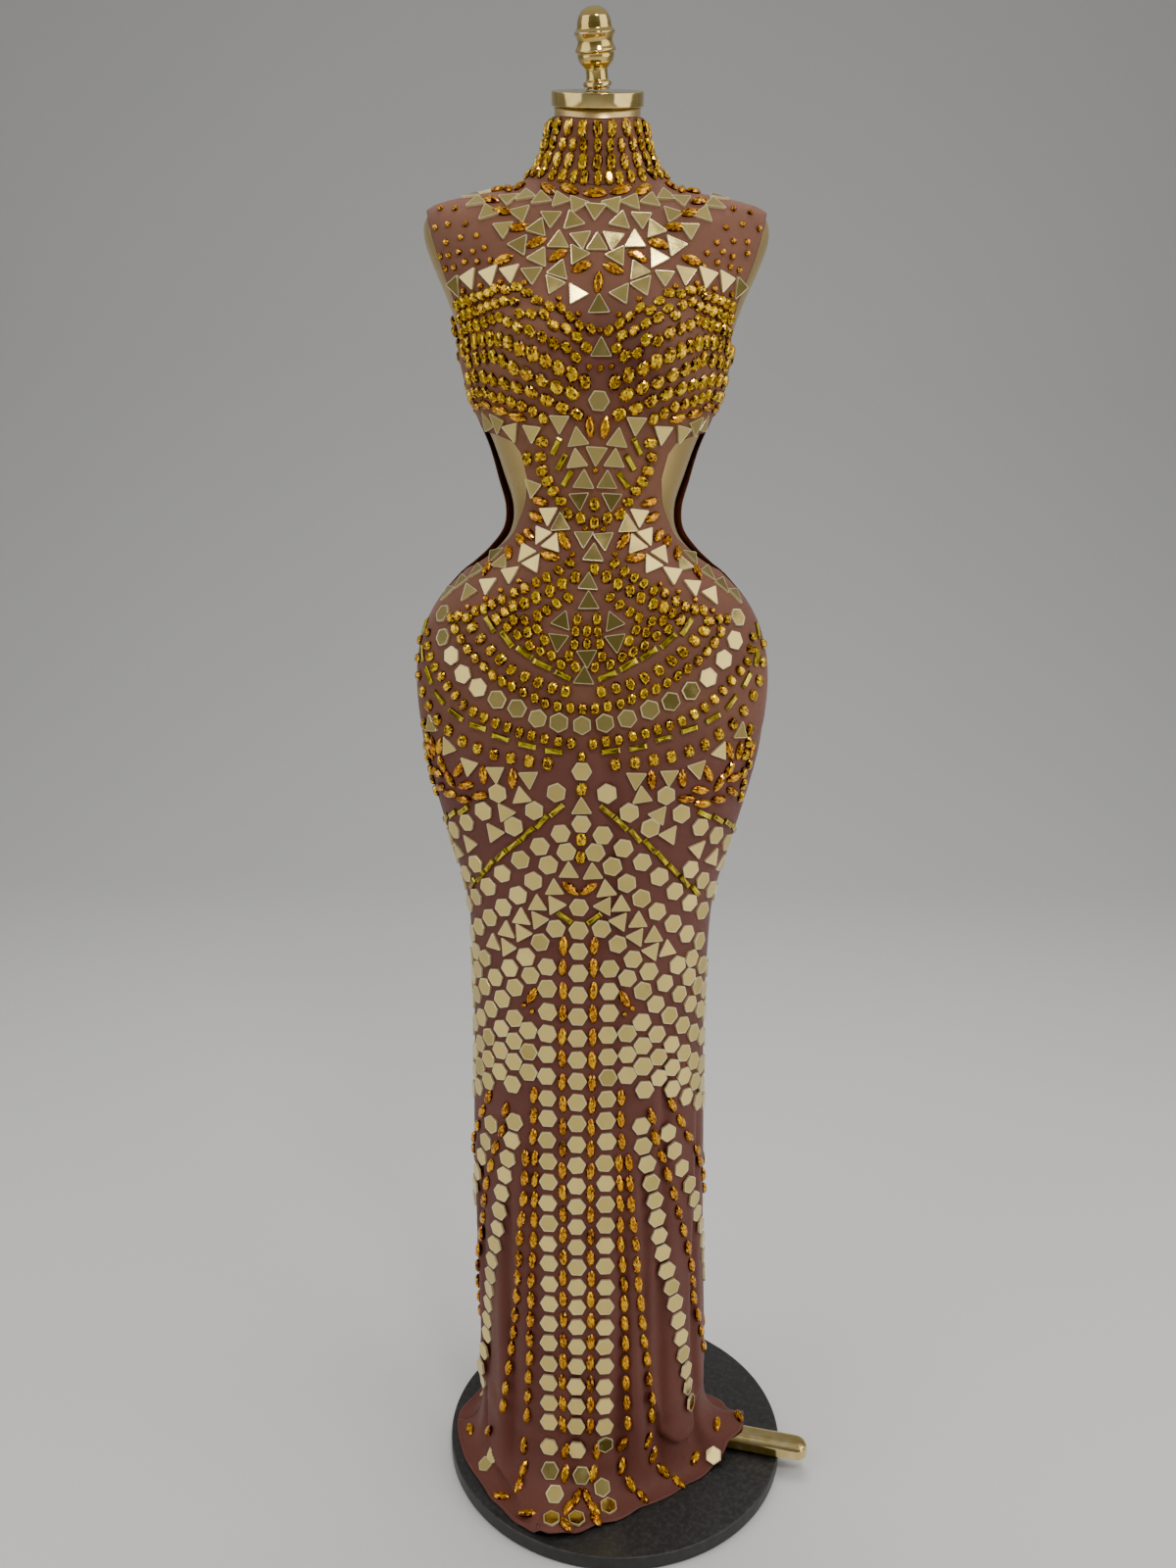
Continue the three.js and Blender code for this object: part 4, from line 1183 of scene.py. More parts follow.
@dataclass
class FlatLayout:
    """Stones on the flattened cloth, eased apart where their outlines would touch.

    Attributes:
        centres: Their (x, z) in mm, with x to the right seen from outside.
        turns: Degrees clockwise from upright.
        sizes: Factors on their sizes.
        kinds: Their kinds.
        gap: Clear cloth wanted between two stones.
        farthest: How far a stone may move from its place in its row.
        pinch: How far two outlines may still overlap before the later stone is left out.
        rounds: Rounds of easing.
    """

    centres: np.ndarray
    turns: np.ndarray
    sizes: np.ndarray
    kinds: list[StoneKind]
    gap: float = 0.8
    farthest: float = 6
    pinch: float = 0.6
    rounds: int = 26

    def outlines(self) -> np.ndarray:
        """Each outline about its own centre, with the last corner repeated up to the same number."""
        corners = max(len(plan_outline(kind)) for kind in StoneKind)
        made = np.zeros((len(self.kinds), corners, 2))
        for k, kind in enumerate(self.kinds):
            outline = plan_outline(kind) * self.sizes[k]
            padded = np.concatenate([outline, np.repeat(outline[-1:], corners - len(outline), 0)])
            turn = math.radians(self.turns[k])
            made[k] = padded @ np.array([[math.cos(turn), -math.sin(turn)], [math.sin(turn), math.cos(turn)]])
        return made

    def gaps(
        self, outlines: np.ndarray, first: np.ndarray, second: np.ndarray
    ) -> tuple[np.ndarray, np.ndarray]:
        """Gaps between pairs of stones, found along the normals of their sides.

        Args:
            outlines: Outlines about their centres.
            first: Numbers of the first stones.
            second: Numbers of the second stones.

        Returns:
            The gaps, less than 0 where they overlap, and the directions from the first to the second.
        """
        one = outlines[first] + self.centres[first][:, None]
        other = outlines[second] + self.centres[second][:, None]
        sides = np.concatenate([np.roll(one, -1, 1) - one, np.roll(other, -1, 1) - other], 1)
        normals = np.stack([sides[..., 1], -sides[..., 0]], -1)
        length = np.linalg.norm(normals, axis=2, keepdims=True)
        normals = np.where(length > 1e-6, normals / np.maximum(length, 1e-6), (1.0, 0.0))
        along_one = np.einsum("pac,pkc->pak", normals, one)
        along_other = np.einsum("pac,pkc->pak", normals, other)
        apart = np.maximum(along_other.min(2) - along_one.max(2), along_one.min(2) - along_other.max(2))
        best = apart.argmax(1)
        pairs = np.arange(len(first))
        way = normals[pairs, best]
        towards = np.sum((self.centres[second] - self.centres[first]) * way, axis=1)
        return apart[pairs, best], way * np.where(towards < 0, -1, 1)[:, None]

    def ease(self) -> list[int]:
        """Moves the stones apart.

        Returns:
            The numbers of the stones that have room.
        """
        outlines = self.outlines()
        start = self.centres.copy()
        reach = np.linalg.norm(outlines, axis=2).max(1)
        between = np.linalg.norm(start[:, None] - start[None], axis=2)
        close = between < reach[:, None] + reach[None] + self.farthest
        first, second = np.nonzero(np.triu(close, 1))
        give = np.array([CUTS[kind].ease for kind in self.kinds])
        share = give[first] / (give[first] + give[second])
        for _ in range(self.rounds):
            gaps, way = self.gaps(outlines, first, second)
            push = 0.55 * np.maximum(self.gap - gaps, 0)[:, None] * way
            move = np.zeros_like(start)
            np.add.at(move, first, -push * share[:, None])
            np.add.at(move, second, push * (1 - share)[:, None])
            drift = self.centres + np.clip(move, -2, 2) - start
            far = np.linalg.norm(drift, axis=1, keepdims=True)
            self.centres = start + drift * np.minimum(1, self.farthest / np.maximum(far, 1e-9))
        gaps, _ = self.gaps(outlines, first, second)
        left_out: set[int] = set()
        for i, j, gap in zip(first.tolist(), second.tolist(), gaps):
            if gap < -self.pinch and i not in left_out:
                left_out.add(j)
        return [k for k in range(len(self.kinds)) if k not in left_out]


@dataclass
class SetStones:
    """Stones set on one face of the gown, gathered for one mesh of each kind.

    Attributes:
        name: The start of the pieces' names.
        side: The face that they are set on.
        middle_clear: Bare cloth on each side of the middle line, in mm.
        edge_share: The share of a stone's half width that must lie on its panel.
    """

    name: str
    side: Side
    middle_clear: float = 0
    edge_share: float = 0.8
    s: list[float] = field(default_factory=list)
    degrees: list[float] = field(default_factory=list)
    turns: list[float] = field(default_factory=list)
    sizes: list[float] = field(default_factory=list)
    kinds: list[StoneKind] = field(default_factory=list)

    def lay(self, rows: Iterable[Row], surveyor: Surveyor, taken: np.ndarray) -> None:
        """Sets rows of stones, eases them apart and leaves out those that don't fit.

        Args:
            rows: The rows, the most important first.
            surveyor: Finds the places on the cloth.
            taken: Points of stones that are already set there.
        """
        places = []
        for row in rows:
            spots, share, heading = along_curve(row.points, row.pitch)
            for (v, z), t, (dv, dz) in zip(spots, share, heading):
                for way in (1, -1):
                    if way < 0 and abs(v) < 1:
                        continue
                    off = RNG.uniform(-row.loose, row.loose, 2) if abs(v) >= 1 else (0, 0)
                    turn = way * self.turned_by(row.turn, t, dv, dz) + RNG.normal(0, 3)
                    places.append(
                        (way * v + off[0], z + off[1], turn, row.size * RNG.normal(1, 0.02), row.kind)
                    )
        x, z, turns, sizes = (np.array([place[k] for place in places], float) for k in range(4))
        kinds = [place[4] for place in places]
        if self.side is Side.FRONT:
            x = x + np.interp(z, *zip(*MIDDLE_LINE))
        layout = FlatLayout(np.stack([x, z], -1), turns, sizes, kinds)
        chosen = layout.ease()
        x, z = layout.centres[chosen].T
        hand = 1 if self.side is Side.FRONT else -1
        s, degrees = surveyor.find(hand * x, z, self.side)
        half = np.array([CUTS[kinds[k]].width * sizes[k] / 2 for k in chosen])
        clear = np.abs(x) >= self.middle_clear + half if self.middle_clear else np.ones(len(x), bool)
        wanted = clear & self.on_panel(s, degrees, half) & self.untaken(s, degrees, half, taken)
        for n in np.nonzero(wanted)[0]:
            k = chosen[n]
            self.add(s[n], degrees[n], turns[k], sizes[k], kinds[k])

    def on_panel(self, s: np.ndarray, degrees: np.ndarray, half: np.ndarray) -> np.ndarray:
        """Whether each stone lies on its panel, clear of its edges."""
        per_degree = np.linalg.norm(SHAPE.face(s, degrees + 0.5) - SHAPE.face(s, degrees - 0.5), axis=1)
        reach = SHAPE.front_edge(s) if self.side is Side.FRONT else 180 - SHAPE.back_edge(s)
        away = np.abs(degrees) if self.side is Side.FRONT else 180 - np.abs(degrees)
        return (reach - away) * per_degree >= half * self.edge_share

    @staticmethod
    def untaken(s: np.ndarray, degrees: np.ndarray, half: np.ndarray, taken: np.ndarray) -> np.ndarray:
        """Whether each stone lies clear of the points that are taken."""
        points = SHAPE.face(s, degrees)
        nearest = np.linalg.norm(points[:, None] - taken[None], axis=2).min(1)
        return nearest >= half + 6

    @staticmethod
    def turned_by(turn: float | tuple[float, float] | Turn, share: float, dv: float, dz: float) -> float:
        """The turn of one stone of a row in degrees clockwise from upright.

        Args:
            turn: The row's rule.
            share: How far along the row it is, from 0 to 1.
            dv: The row's direction across.
            dz: The row's direction up.

        Returns:
            The turn.
        """
        if isinstance(turn, Turn):
            heading = math.degrees(math.atan2(dv, dz))
            return heading if turn is Turn.ALONG else heading + 90
        if isinstance(turn, tuple):
            return turn[0] + (turn[1] - turn[0]) * share
        return turn

    def add(self, s: float, degrees: float, turn: float, size: float, kind: StoneKind) -> None:
        """Sets one stone."""
        self.s.append(float(s))
        self.degrees.append(float(degrees))
        self.turns.append(float(turn))
        self.sizes.append(float(size))
        self.kinds.append(kind)

    def frames(self) -> tuple[np.ndarray, np.ndarray, np.ndarray, np.ndarray]:
        """Places of the stones and their across, up and out directions."""
        s, degrees = np.array(self.s), np.array(self.degrees)
        reach = 0.4 * np.array([CUTS[kind].width for kind in self.kinds]) * self.sizes / SHAPE.per_degree
        around = [crease_depth(s, degrees + reach * step) for step in (-1, -0.5, 0, 0.5, 1)]
        points = SHAPE.moved(s, degrees, SHAPE.waist_stand_off(s, degrees) - np.min(around, axis=0))
        out = SHAPE.normal(s, degrees)
        out = out + RNG.normal(0, 0.022, out.shape)
        out /= np.linalg.norm(out, axis=1, keepdims=True)
        rise = SHAPE.face(s + 0.02, degrees) - SHAPE.face(s - 0.02, degrees)
        rise -= out * np.sum(rise * out, axis=1, keepdims=True)
        rise /= np.linalg.norm(rise, axis=1, keepdims=True)
        across = np.cross(rise, out)
        turn = np.radians(self.turns)[:, None]
        up = rise * np.cos(turn) + across * np.sin(turn)
        right = across * np.cos(turn) - rise * np.sin(turn)
        return points, right, up, out

    def build(self, finishes: "Wardrobe") -> list[bpy.types.Object]:
        """Makes one mesh for each kind of stone.

        Args:
            finishes: The materials.

        Returns:
            The pieces.
        """
        points, right, up, out = self.frames()
        made = []
        for kind in StoneKind:
            chosen = [k for k, each in enumerate(self.kinds) if each is kind]
            if not chosen:
                continue
            stone = STONES[kind]
            size = np.array([self.sizes[k] for k in chosen])[:, None, None]
            local = stone.points[None, :, :] * np.concatenate([size, size, np.ones_like(size)], 2)
            axes = np.stack([right[chosen], up[chosen], out[chosen]], 1)
            placed = points[chosen][:, None, :] + np.einsum("nki,nij->nkj", local, axes)
            count = len(stone.points)
            faces = [tuple(p + n * count for p in face) for n in range(len(chosen)) for face in stone.faces]
            mirror = CUTS[kind].mirror
            materials = [finishes.mirror, finishes.rim] if mirror else [finishes.stone_of(kind)]
            name = f"{self.name}_{kind.value}s"
            piece = add_mesh(
                name, placed.reshape(-1, 3), faces, materials,
                np.tile(stone.slots, len(chosen)), smooth_faces=False
            )
            self.store_tones(piece, kind, [self.s[k] for k in chosen], [self.degrees[k] for k in chosen])
            made.append(piece)
        return made

    def store_tones(
        self, piece: bpy.types.Object, kind: StoneKind, s: list[float], degrees: list[float]
    ) -> None:
        """Stores a tone for each stone, with a painted reflection of the pale floor that makes mirror tiles
        lighter low on the skirt, and a painted light level for each facet.

        Args:
            piece: The joined stones.
            kind: Their kind.
            s: Section numbers.
            degrees: Angles.
        """
        stone = STONES[kind]
        facets = len(stone.faces)
        height = SHAPE.face(np.array(s), np.array(degrees))[:, 2]
        # Painted reflection of the pale floor: mirror tiles are made lighter towards the bottom of the skirt.
        painted_floor_reflection = 0.16 * smooth((620 - height) / 300) if CUTS[kind].mirror else 0
        tone = np.repeat((RNG.normal(0.5, 0.17, len(s)) + painted_floor_reflection).clip(0, 1), facets)
        # Painted glints and dark reflections: each facet's light level with a random spread.
        painted_facet_light = (np.tile(stone.painted_facet_lights, len(s)) + RNG.normal(0, 0.3, len(s) * facets)).clip(0, 1)
        for name, values in (("tone", tone), ("painted_facet_light", painted_facet_light)):
            layer = piece.data.attributes.new(name, "FLOAT", "FACE")
            layer.data.foreach_set("value", values.astype(np.float32))


class Nodes:
    """A short way to build a node tree."""

    def __init__(self, tree: bpy.types.NodeTree) -> None:
        """Keeps the tree and empties it."""
        self.tree = tree
        tree.nodes.clear()

    def add(self, kind: str, settings: dict[str, object] | None = None, **values: object) -> bpy.types.Node:
        """Adds a node.

        Args:
            kind: The node's type name without its ShaderNode prefix.
            settings: The node's own properties.
            **values: Values or source sockets of its inputs, with _ for a space in a name.

        Returns:
            The node.
        """
        node = self.tree.nodes.new(kind if kind.startswith("NodeGroup") else "ShaderNode" + kind)
        for name, value in (settings or {}).items():
            setattr(node, name, value)
        for name, value in values.items():
            self.feed(node, name.replace("_", " "), value)
        return node

    def feed(self, node: bpy.types.Node, name: str, value: object) -> None:
        """Sets an input, or links a socket to it."""
        socket = node.inputs[name]
        if isinstance(value, bpy.types.NodeSocket):
            self.tree.links.new(value, socket)
        else:
            socket.default_value = value

    def math(
        self, operation: str, first: object, second: object = 0.0, clamp: bool = False
    ) -> bpy.types.NodeSocket:
        """The output of a Math node."""
        node = self.tree.nodes.new("ShaderNodeMath")
        node.operation = operation
        node.use_clamp = clamp
        for socket, value in zip(node.inputs, (first, second)):
            if isinstance(value, bpy.types.NodeSocket):
                self.tree.links.new(value, socket)
            else:
                socket.default_value = value
        return node.outputs[0]

    def mix(self, factor: object, first: object, second: object, blend: str = "MIX") -> bpy.types.NodeSocket:
        """The output of a colour Mix node."""
        node = self.tree.nodes.new("ShaderNodeMix")
        node.data_type = "RGBA"
        node.blend_type = blend
        for index, value in ((0, factor), (6, first), (7, second)):
            if isinstance(value, bpy.types.NodeSocket):
                self.tree.links.new(value, node.inputs[index])
            else:
                node.inputs[index].default_value = value
        return node.outputs[2]

    def ramp(
        self, factor: object, stops: Sequence[tuple[float, tuple[float, float, float]]]
    ) -> bpy.types.NodeSocket:
        """The colour of a ColorRamp node."""
        node = self.tree.nodes.new("ShaderNodeValToRGB")
        elements = node.color_ramp.elements
        while len(elements) < len(stops):
            elements.new(0.5)
        for element, (place, colour) in zip(elements, stops):
            element.position = place
            element.color = (*colour, 1)
        self.feed(node, "Fac", factor)
        return node.outputs["Color"]

    def spread(
        self, value: object, low: float, high: float, to_low: float, to_high: float
    ) -> bpy.types.NodeSocket:
        """A value moved from one range to another."""
        node = self.add("MapRange", None, Value=value)
        for name, number in (("From Min", low), ("From Max", high), ("To Min", to_low), ("To Max", to_high)):
            node.inputs[name].default_value = number
        return node.outputs["Result"]


def new_group(
    name: str, inputs: dict[str, float], outputs: Sequence[str]
) -> tuple[bpy.types.NodeTree, Nodes]:
    """Makes an empty shader node group with float inputs and outputs.

    Args:
        name: The group's name.
        inputs: Its inputs with their usual values.
        outputs: Its outputs.

    Returns:
        The group and its builder, with Group Input and Group Output nodes named "in" and "out".
    """
    group = bpy.data.node_groups.new(name, "ShaderNodeTree")
    nodes = Nodes(group)
    for label, value in inputs.items():
        socket = group.interface.new_socket(name=label, in_out="INPUT", socket_type="NodeSocketFloat")
        socket.default_value = value
    for label in outputs:
        group.interface.new_socket(name=label, in_out="OUTPUT", socket_type="NodeSocketFloat")
    nodes.add("NodeGroupInput").name = "in"
    nodes.add("NodeGroupOutput").name = "out"
    return group, nodes


def grain_group() -> bpy.types.NodeTree:
    """Fine uneven grain: a height and a tone from two sizes of noise."""
    group, nodes = new_group("fine_grain", {"Size": 900.0, "Patch": 18.0, "Detail": 4.0}, ("Height", "Tone"))
    given = group.nodes["in"].outputs
    place = nodes.add("TexCoord").outputs["Object"]
    fine = nodes.add("TexNoise", None, Vector=place, Scale=given["Size"], Detail=given["Detail"])
    patch = nodes.add("TexNoise", None, Vector=place, Scale=given["Patch"], Detail=3.0)
    nodes.feed(group.nodes["out"], "Height", fine.outputs["Fac"])
    nodes.feed(group.nodes["out"], "Tone", patch.outputs["Fac"])
    return group


def knit_group() -> bpy.types.NodeTree:
    """A fine warp-knit mesh on the cloth's own flat coordinates: a height, holes and ribs."""
    group, nodes = new_group("power_knit", {"Courses": 900.0, "Wales": 760.0}, ("Height", "Holes"))
    given = group.nodes["in"].outputs
    split = nodes.add("SeparateXYZ", None, Vector=nodes.add("UVMap").outputs["UV"])
    across = nodes.math("MULTIPLY", split.outputs["X"], given["Wales"])
    along = nodes.math("MULTIPLY", split.outputs["Y"], given["Courses"])
    wave = nodes.math("SINE", nodes.math("MULTIPLY", across, math.tau))
    shifted = nodes.math("ADD", nodes.math("MULTIPLY", along, math.tau), nodes.math("MULTIPLY", wave, 0.9))
    course = nodes.math("SINE", shifted)
    both = nodes.math("MULTIPLY", wave, course)
    nodes.feed(group.nodes["out"], "Height", nodes.spread(nodes.math("ADD", both, course), -2, 2, 0, 1))
    nodes.feed(group.nodes["out"], "Holes", nodes.spread(both, 0.5, 1, 0, 1))
    return group


def dust_group() -> bpy.types.NodeTree:
    """Dust on faces that look up: a mask."""
    group, nodes = new_group("dust", {"Amount": 0.5, "Size": 60.0}, ("Mask",))
    given = group.nodes["in"].outputs
    up = nodes.add("SeparateXYZ", None, Vector=nodes.add("NewGeometry").outputs["Normal"]).outputs["Z"]
    place = nodes.add("TexCoord").outputs["Object"]
    noise = nodes.add("TexNoise", None, Vector=place, Scale=given["Size"], Detail=6.0, Roughness=0.7)
    specks = nodes.spread(noise.outputs["Fac"], 0.45, 0.75, 0, 1)
    facing = nodes.spread(up, 0.3, 1, 0, 1)
    mask = nodes.math("MULTIPLY", nodes.math("MULTIPLY", specks, facing), given["Amount"], clamp=True)
    nodes.feed(group.nodes["out"], "Mask", mask)
    return group


def wear_group() -> bpy.types.NodeTree:
    """Handling along edges: a mask that is 1 on worn edges, broken up by noise."""
    group, nodes = new_group("edge_wear", {"Reach": 0.04, "Breakup": 90.0}, ("Mask",))
    given = group.nodes["in"].outputs
    point = nodes.add("NewGeometry").outputs["Pointiness"]
    over = nodes.math("SUBTRACT", point, 0.5)
    edge = nodes.math("DIVIDE", over, given["Reach"], clamp=True)
    place = nodes.add("TexCoord").outputs["Object"]
    noise = nodes.add("TexNoise", None, Vector=place, Scale=given["Breakup"], Detail=5.0)
    broken = nodes.spread(noise.outputs["Fac"], 0.35, 0.65, 0.2, 1)
    nodes.feed(group.nodes["out"], "Mask", nodes.math("MULTIPLY", edge, broken, clamp=True))
    return group


class Effects:
    """The node groups that several finishes share."""

    def __init__(self) -> None:
        """Builds each group once."""
        self.grain = grain_group()
        self.knit = knit_group()
        self.dust = dust_group()
        self.wear = wear_group()

    @staticmethod
    def place(nodes: Nodes, group: bpy.types.NodeTree, **values: float) -> bpy.types.Node:
        """Adds a group to a material with its own values."""
        return nodes.add("Group", {"node_tree": group}, **values)


Colour = tuple[float, float, float]


def new_material(name: str) -> tuple[bpy.types.Material, Nodes, bpy.types.Node]:
    """A material with a Principled shader: the material, its builder and the shader."""
    material = bpy.data.materials.new(name)
    material.use_nodes = True
    nodes = Nodes(material.node_tree)
    shader = nodes.add("BsdfPrincipled")
    output = nodes.add("OutputMaterial")
    material.node_tree.links.new(shader.outputs["BSDF"], output.inputs["Surface"])
    return material, nodes, shader


def bump(
    nodes: Nodes, shader: bpy.types.Node, height: object, distance: float, strength: float = 1.0
) -> None:
    """Feeds a height to the shader's normal."""
    node = nodes.add("Bump", None, Height=height, Distance=distance, Strength=strength)
    nodes.feed(shader, "Normal", node.outputs["Normal"])


@dataclass(frozen=True)
class ClothFinish:
    """Stretch mesh cloth with a painted sheen: the shiny gold form seen through the net is painted in as a
    warmer, lighter colour, read from a mask stored on the cloth.
    """

    name: str
    loose: Colour
    painted_form_sheen: Colour
    shadow: Colour
    roughness: float = 0.62
    sheen: float = 0.12

    def material(self, effects: Effects) -> bpy.types.Material:
        """Builds the material."""
        material, nodes, shader = new_material(self.name)
        knit = effects.place(nodes, effects.knit)
        grain = effects.place(nodes, effects.grain, Size=420.0, Patch=9.0)
        # Painted reflection: the mask of the gold form's sheen through the net, lighter over the bust and
        # hips, with painted shading in the cleavage.
        painted_sheen_mask = nodes.add("Attribute", {"attribute_name": "painted_form_sheen"}).outputs["Fac"]
        base = nodes.mix(painted_sheen_mask, (*self.loose, 1), (*self.painted_form_sheen, 1))
        patches = nodes.spread(grain.outputs["Tone"], 0.35, 0.65, 0.0, 0.35)
        base = nodes.mix(patches, base, (*self.shadow, 1))
        holes = nodes.math("MULTIPLY", knit.outputs["Holes"], 0.35)
        base = nodes.mix(holes, base, (*self.shadow, 1))
        nodes.feed(shader, "Base Color", base)
        rough = nodes.spread(grain.outputs["Height"], 0.3, 0.7, self.roughness - 0.1, self.roughness + 0.1)
        nodes.feed(shader, "Roughness", rough)
        nodes.feed(shader, "Sheen Weight", self.sheen)
        nodes.feed(shader, "Sheen Roughness", 0.4)
        nodes.feed(shader, "Specular IOR Level", 0.28)
        height = nodes.math(
            "ADD", knit.outputs["Height"], nodes.math("MULTIPLY", grain.outputs["Height"], 0.4)
        )
        bump(nodes, shader, height, 0.0004, 0.5)
        return material


@dataclass(frozen=True)
class MirrorFinish:
    """Tinted mirror: each tile has its own tone, which low on the skirt also carries a painted reflection of
    the pale floor, with faint waviness, smears and dust.
    """

    name: str
    dark: Colour
    light: Colour
    roughness: float = 0.1

    def material(self, effects: Effects) -> bpy.types.Material:
        """Builds the material."""
        material, nodes, shader = new_material(self.name)
        grain = effects.place(nodes, effects.grain, Size=60.0, Patch=14.0)
        # The tone holds each tile's own tint and, low on the skirt, a painted reflection of the floor.
        tone = nodes.add("Attribute", {"attribute_name": "tone"}).outputs["Fac"]
        shifted = nodes.math(
            "ADD", tone, nodes.spread(grain.outputs["Tone"], 0.3, 0.7, -0.12, 0.12), clamp=True
        )
        nodes.feed(shader, "Base Color", nodes.mix(shifted, (*self.dark, 1), (*self.light, 1)))
        nodes.feed(shader, "Metallic", 1.0)
        smear = nodes.spread(grain.outputs["Height"], 0.4, 0.7, self.roughness, self.roughness + 0.12)
        nodes.feed(shader, "Roughness", smear)
        bump(nodes, shader, grain.outputs["Tone"], 0.0012, 0.35)
        return material


@dataclass(frozen=True)
class StoneFinish:
    """Foil-backed cut stone: each facet has its own painted light level, from a painted dark reflection of
    the pavilion to a painted glint of its fire.
    """

    name: str
    stops: tuple[tuple[float, Colour], ...]
    metallic: float = 0.75
    roughness: float = 0.08
    coat: float = 0.25

    def material(self, effects: Effects) -> bpy.types.Material:
        """Builds the material."""
        material, nodes, shader = new_material(self.name)
        grain = effects.place(nodes, effects.grain, Size=500.0, Patch=160.0)
        # Painted glints and dark reflections, read for each facet and shifted by the stone's own tone.
        painted_facet_light = nodes.add("Attribute", {"attribute_name": "painted_facet_light"}).outputs["Fac"]
        tone = nodes.add("Attribute", {"attribute_name": "tone"}).outputs["Fac"]
        mixed = nodes.math(
            "ADD", painted_facet_light, nodes.math("MULTIPLY", nodes.math("SUBTRACT", tone, 0.5), 0.5), clamp=True
        )
        inner = nodes.math(
            "ADD", mixed, nodes.spread(grain.outputs["Tone"], 0.35, 0.65, -0.14, 0.14), clamp=True
        )
        nodes.feed(shader, "Base Color", nodes.ramp(inner, self.stops))
        nodes.feed(shader, "Metallic", self.metallic)
        nodes.feed(shader, "Roughness", nodes.spread(grain.outputs["Height"], 0.3, 0.8, self.roughness, 0.2))
        nodes.feed(shader, "Coat Weight", self.coat)
        nodes.feed(shader, "Coat Roughness", 0.03)
        nodes.feed(shader, "IOR", 1.6)
        return material


@dataclass(frozen=True)
class MetalFinish:
    """Bright or lacquered metal with light smears, edge wear and a little dust."""

    name: str
    colour: Colour
    worn: Colour
    roughness: float
    dust: float = 0.25
    coat: float = 0.0
    metallic: float = 1.0

    def material(self, effects: Effects) -> bpy.types.Material:
        """Builds the material."""
        material, nodes, shader = new_material(self.name)
        grain = effects.place(nodes, effects.grain, Size=700.0, Patch=11.0)
        wear = effects.place(nodes, effects.wear)
        dust = effects.place(nodes, effects.dust, Amount=self.dust)
        base = nodes.mix(wear.outputs["Mask"], (*self.colour, 1), (*self.worn, 1))
        tone = nodes.spread(grain.outputs["Tone"], 0.3, 0.7, 0, 0.22)
        base = nodes.mix(tone, base, (*(c * 0.62 for c in self.colour), 1))
        nodes.feed(shader, "Base Color", nodes.mix(dust.outputs["Mask"], base, (0.42, 0.4, 0.36, 1)))
        nodes.feed(shader, "Metallic", self.metallic)
        smear = nodes.spread(grain.outputs["Tone"], 0.35, 0.7, self.roughness, self.roughness + 0.09)
        rough = nodes.math("ADD", smear, nodes.math("MULTIPLY", dust.outputs["Mask"], 0.4), clamp=True)
        nodes.feed(shader, "Roughness", rough)
        nodes.feed(shader, "Coat Weight", self.coat)
        nodes.feed(shader, "Coat Roughness", 0.05)
        bump(nodes, shader, grain.outputs["Height"], 0.00004, 0.4)
        return material


@dataclass(frozen=True)
class PowderFinish:
    """Fine-textured matt powder coat with specks and dust."""

    name: str
    colour: Colour
    speck: Colour
    roughness: float = 0.46

    def material(self, effects: Effects) -> bpy.types.Material:
        """Builds the material."""
        material, nodes, shader = new_material(self.name)
        grain = effects.place(nodes, effects.grain, Size=2600.0, Patch=7.0, Detail=2.0)
        dust = effects.place(nodes, effects.dust, Amount=0.12, Size=160.0)
        wear = effects.place(nodes, effects.wear)
        specks = nodes.spread(grain.outputs["Height"], 0.6, 0.75, 0, 0.14)
        base = nodes.mix(specks, (*self.colour, 1), (*self.speck, 1))
        base = nodes.mix(nodes.math("MULTIPLY", wear.outputs["Mask"], 0.3), base, (*self.speck, 1))
        nodes.feed(shader, "Base Color", nodes.mix(dust.outputs["Mask"], base, (0.28, 0.27, 0.25, 1)))
        rough = nodes.spread(grain.outputs["Tone"], 0.3, 0.7, self.roughness - 0.06, self.roughness + 0.1)
        nodes.feed(shader, "Roughness", rough)
        bump(nodes, shader, grain.outputs["Height"], 0.00006, 0.4)
        return material


@dataclass(frozen=True)
class FloorFinish:
    """Plain pale floor with the faintest unevenness."""

    name: str = "pale_floor"
    colour: Colour = (0.74, 0.74, 0.73)

    def material(self, effects: Effects) -> bpy.types.Material:
        """Builds the material."""
        material, nodes, shader = new_material(self.name)
        grain = effects.place(nodes, effects.grain, Size=40.0, Patch=1.3)
        tone = nodes.spread(grain.outputs["Tone"], 0.3, 0.7, 0, 0.12)
        nodes.feed(
            shader, "Base Color", nodes.mix(tone, (*self.colour, 1), (*(c * 0.9 for c in self.colour), 1))
        )
        nodes.feed(shader, "Roughness", nodes.spread(grain.outputs["Height"], 0.3, 0.7, 0.55, 0.65))
        return material


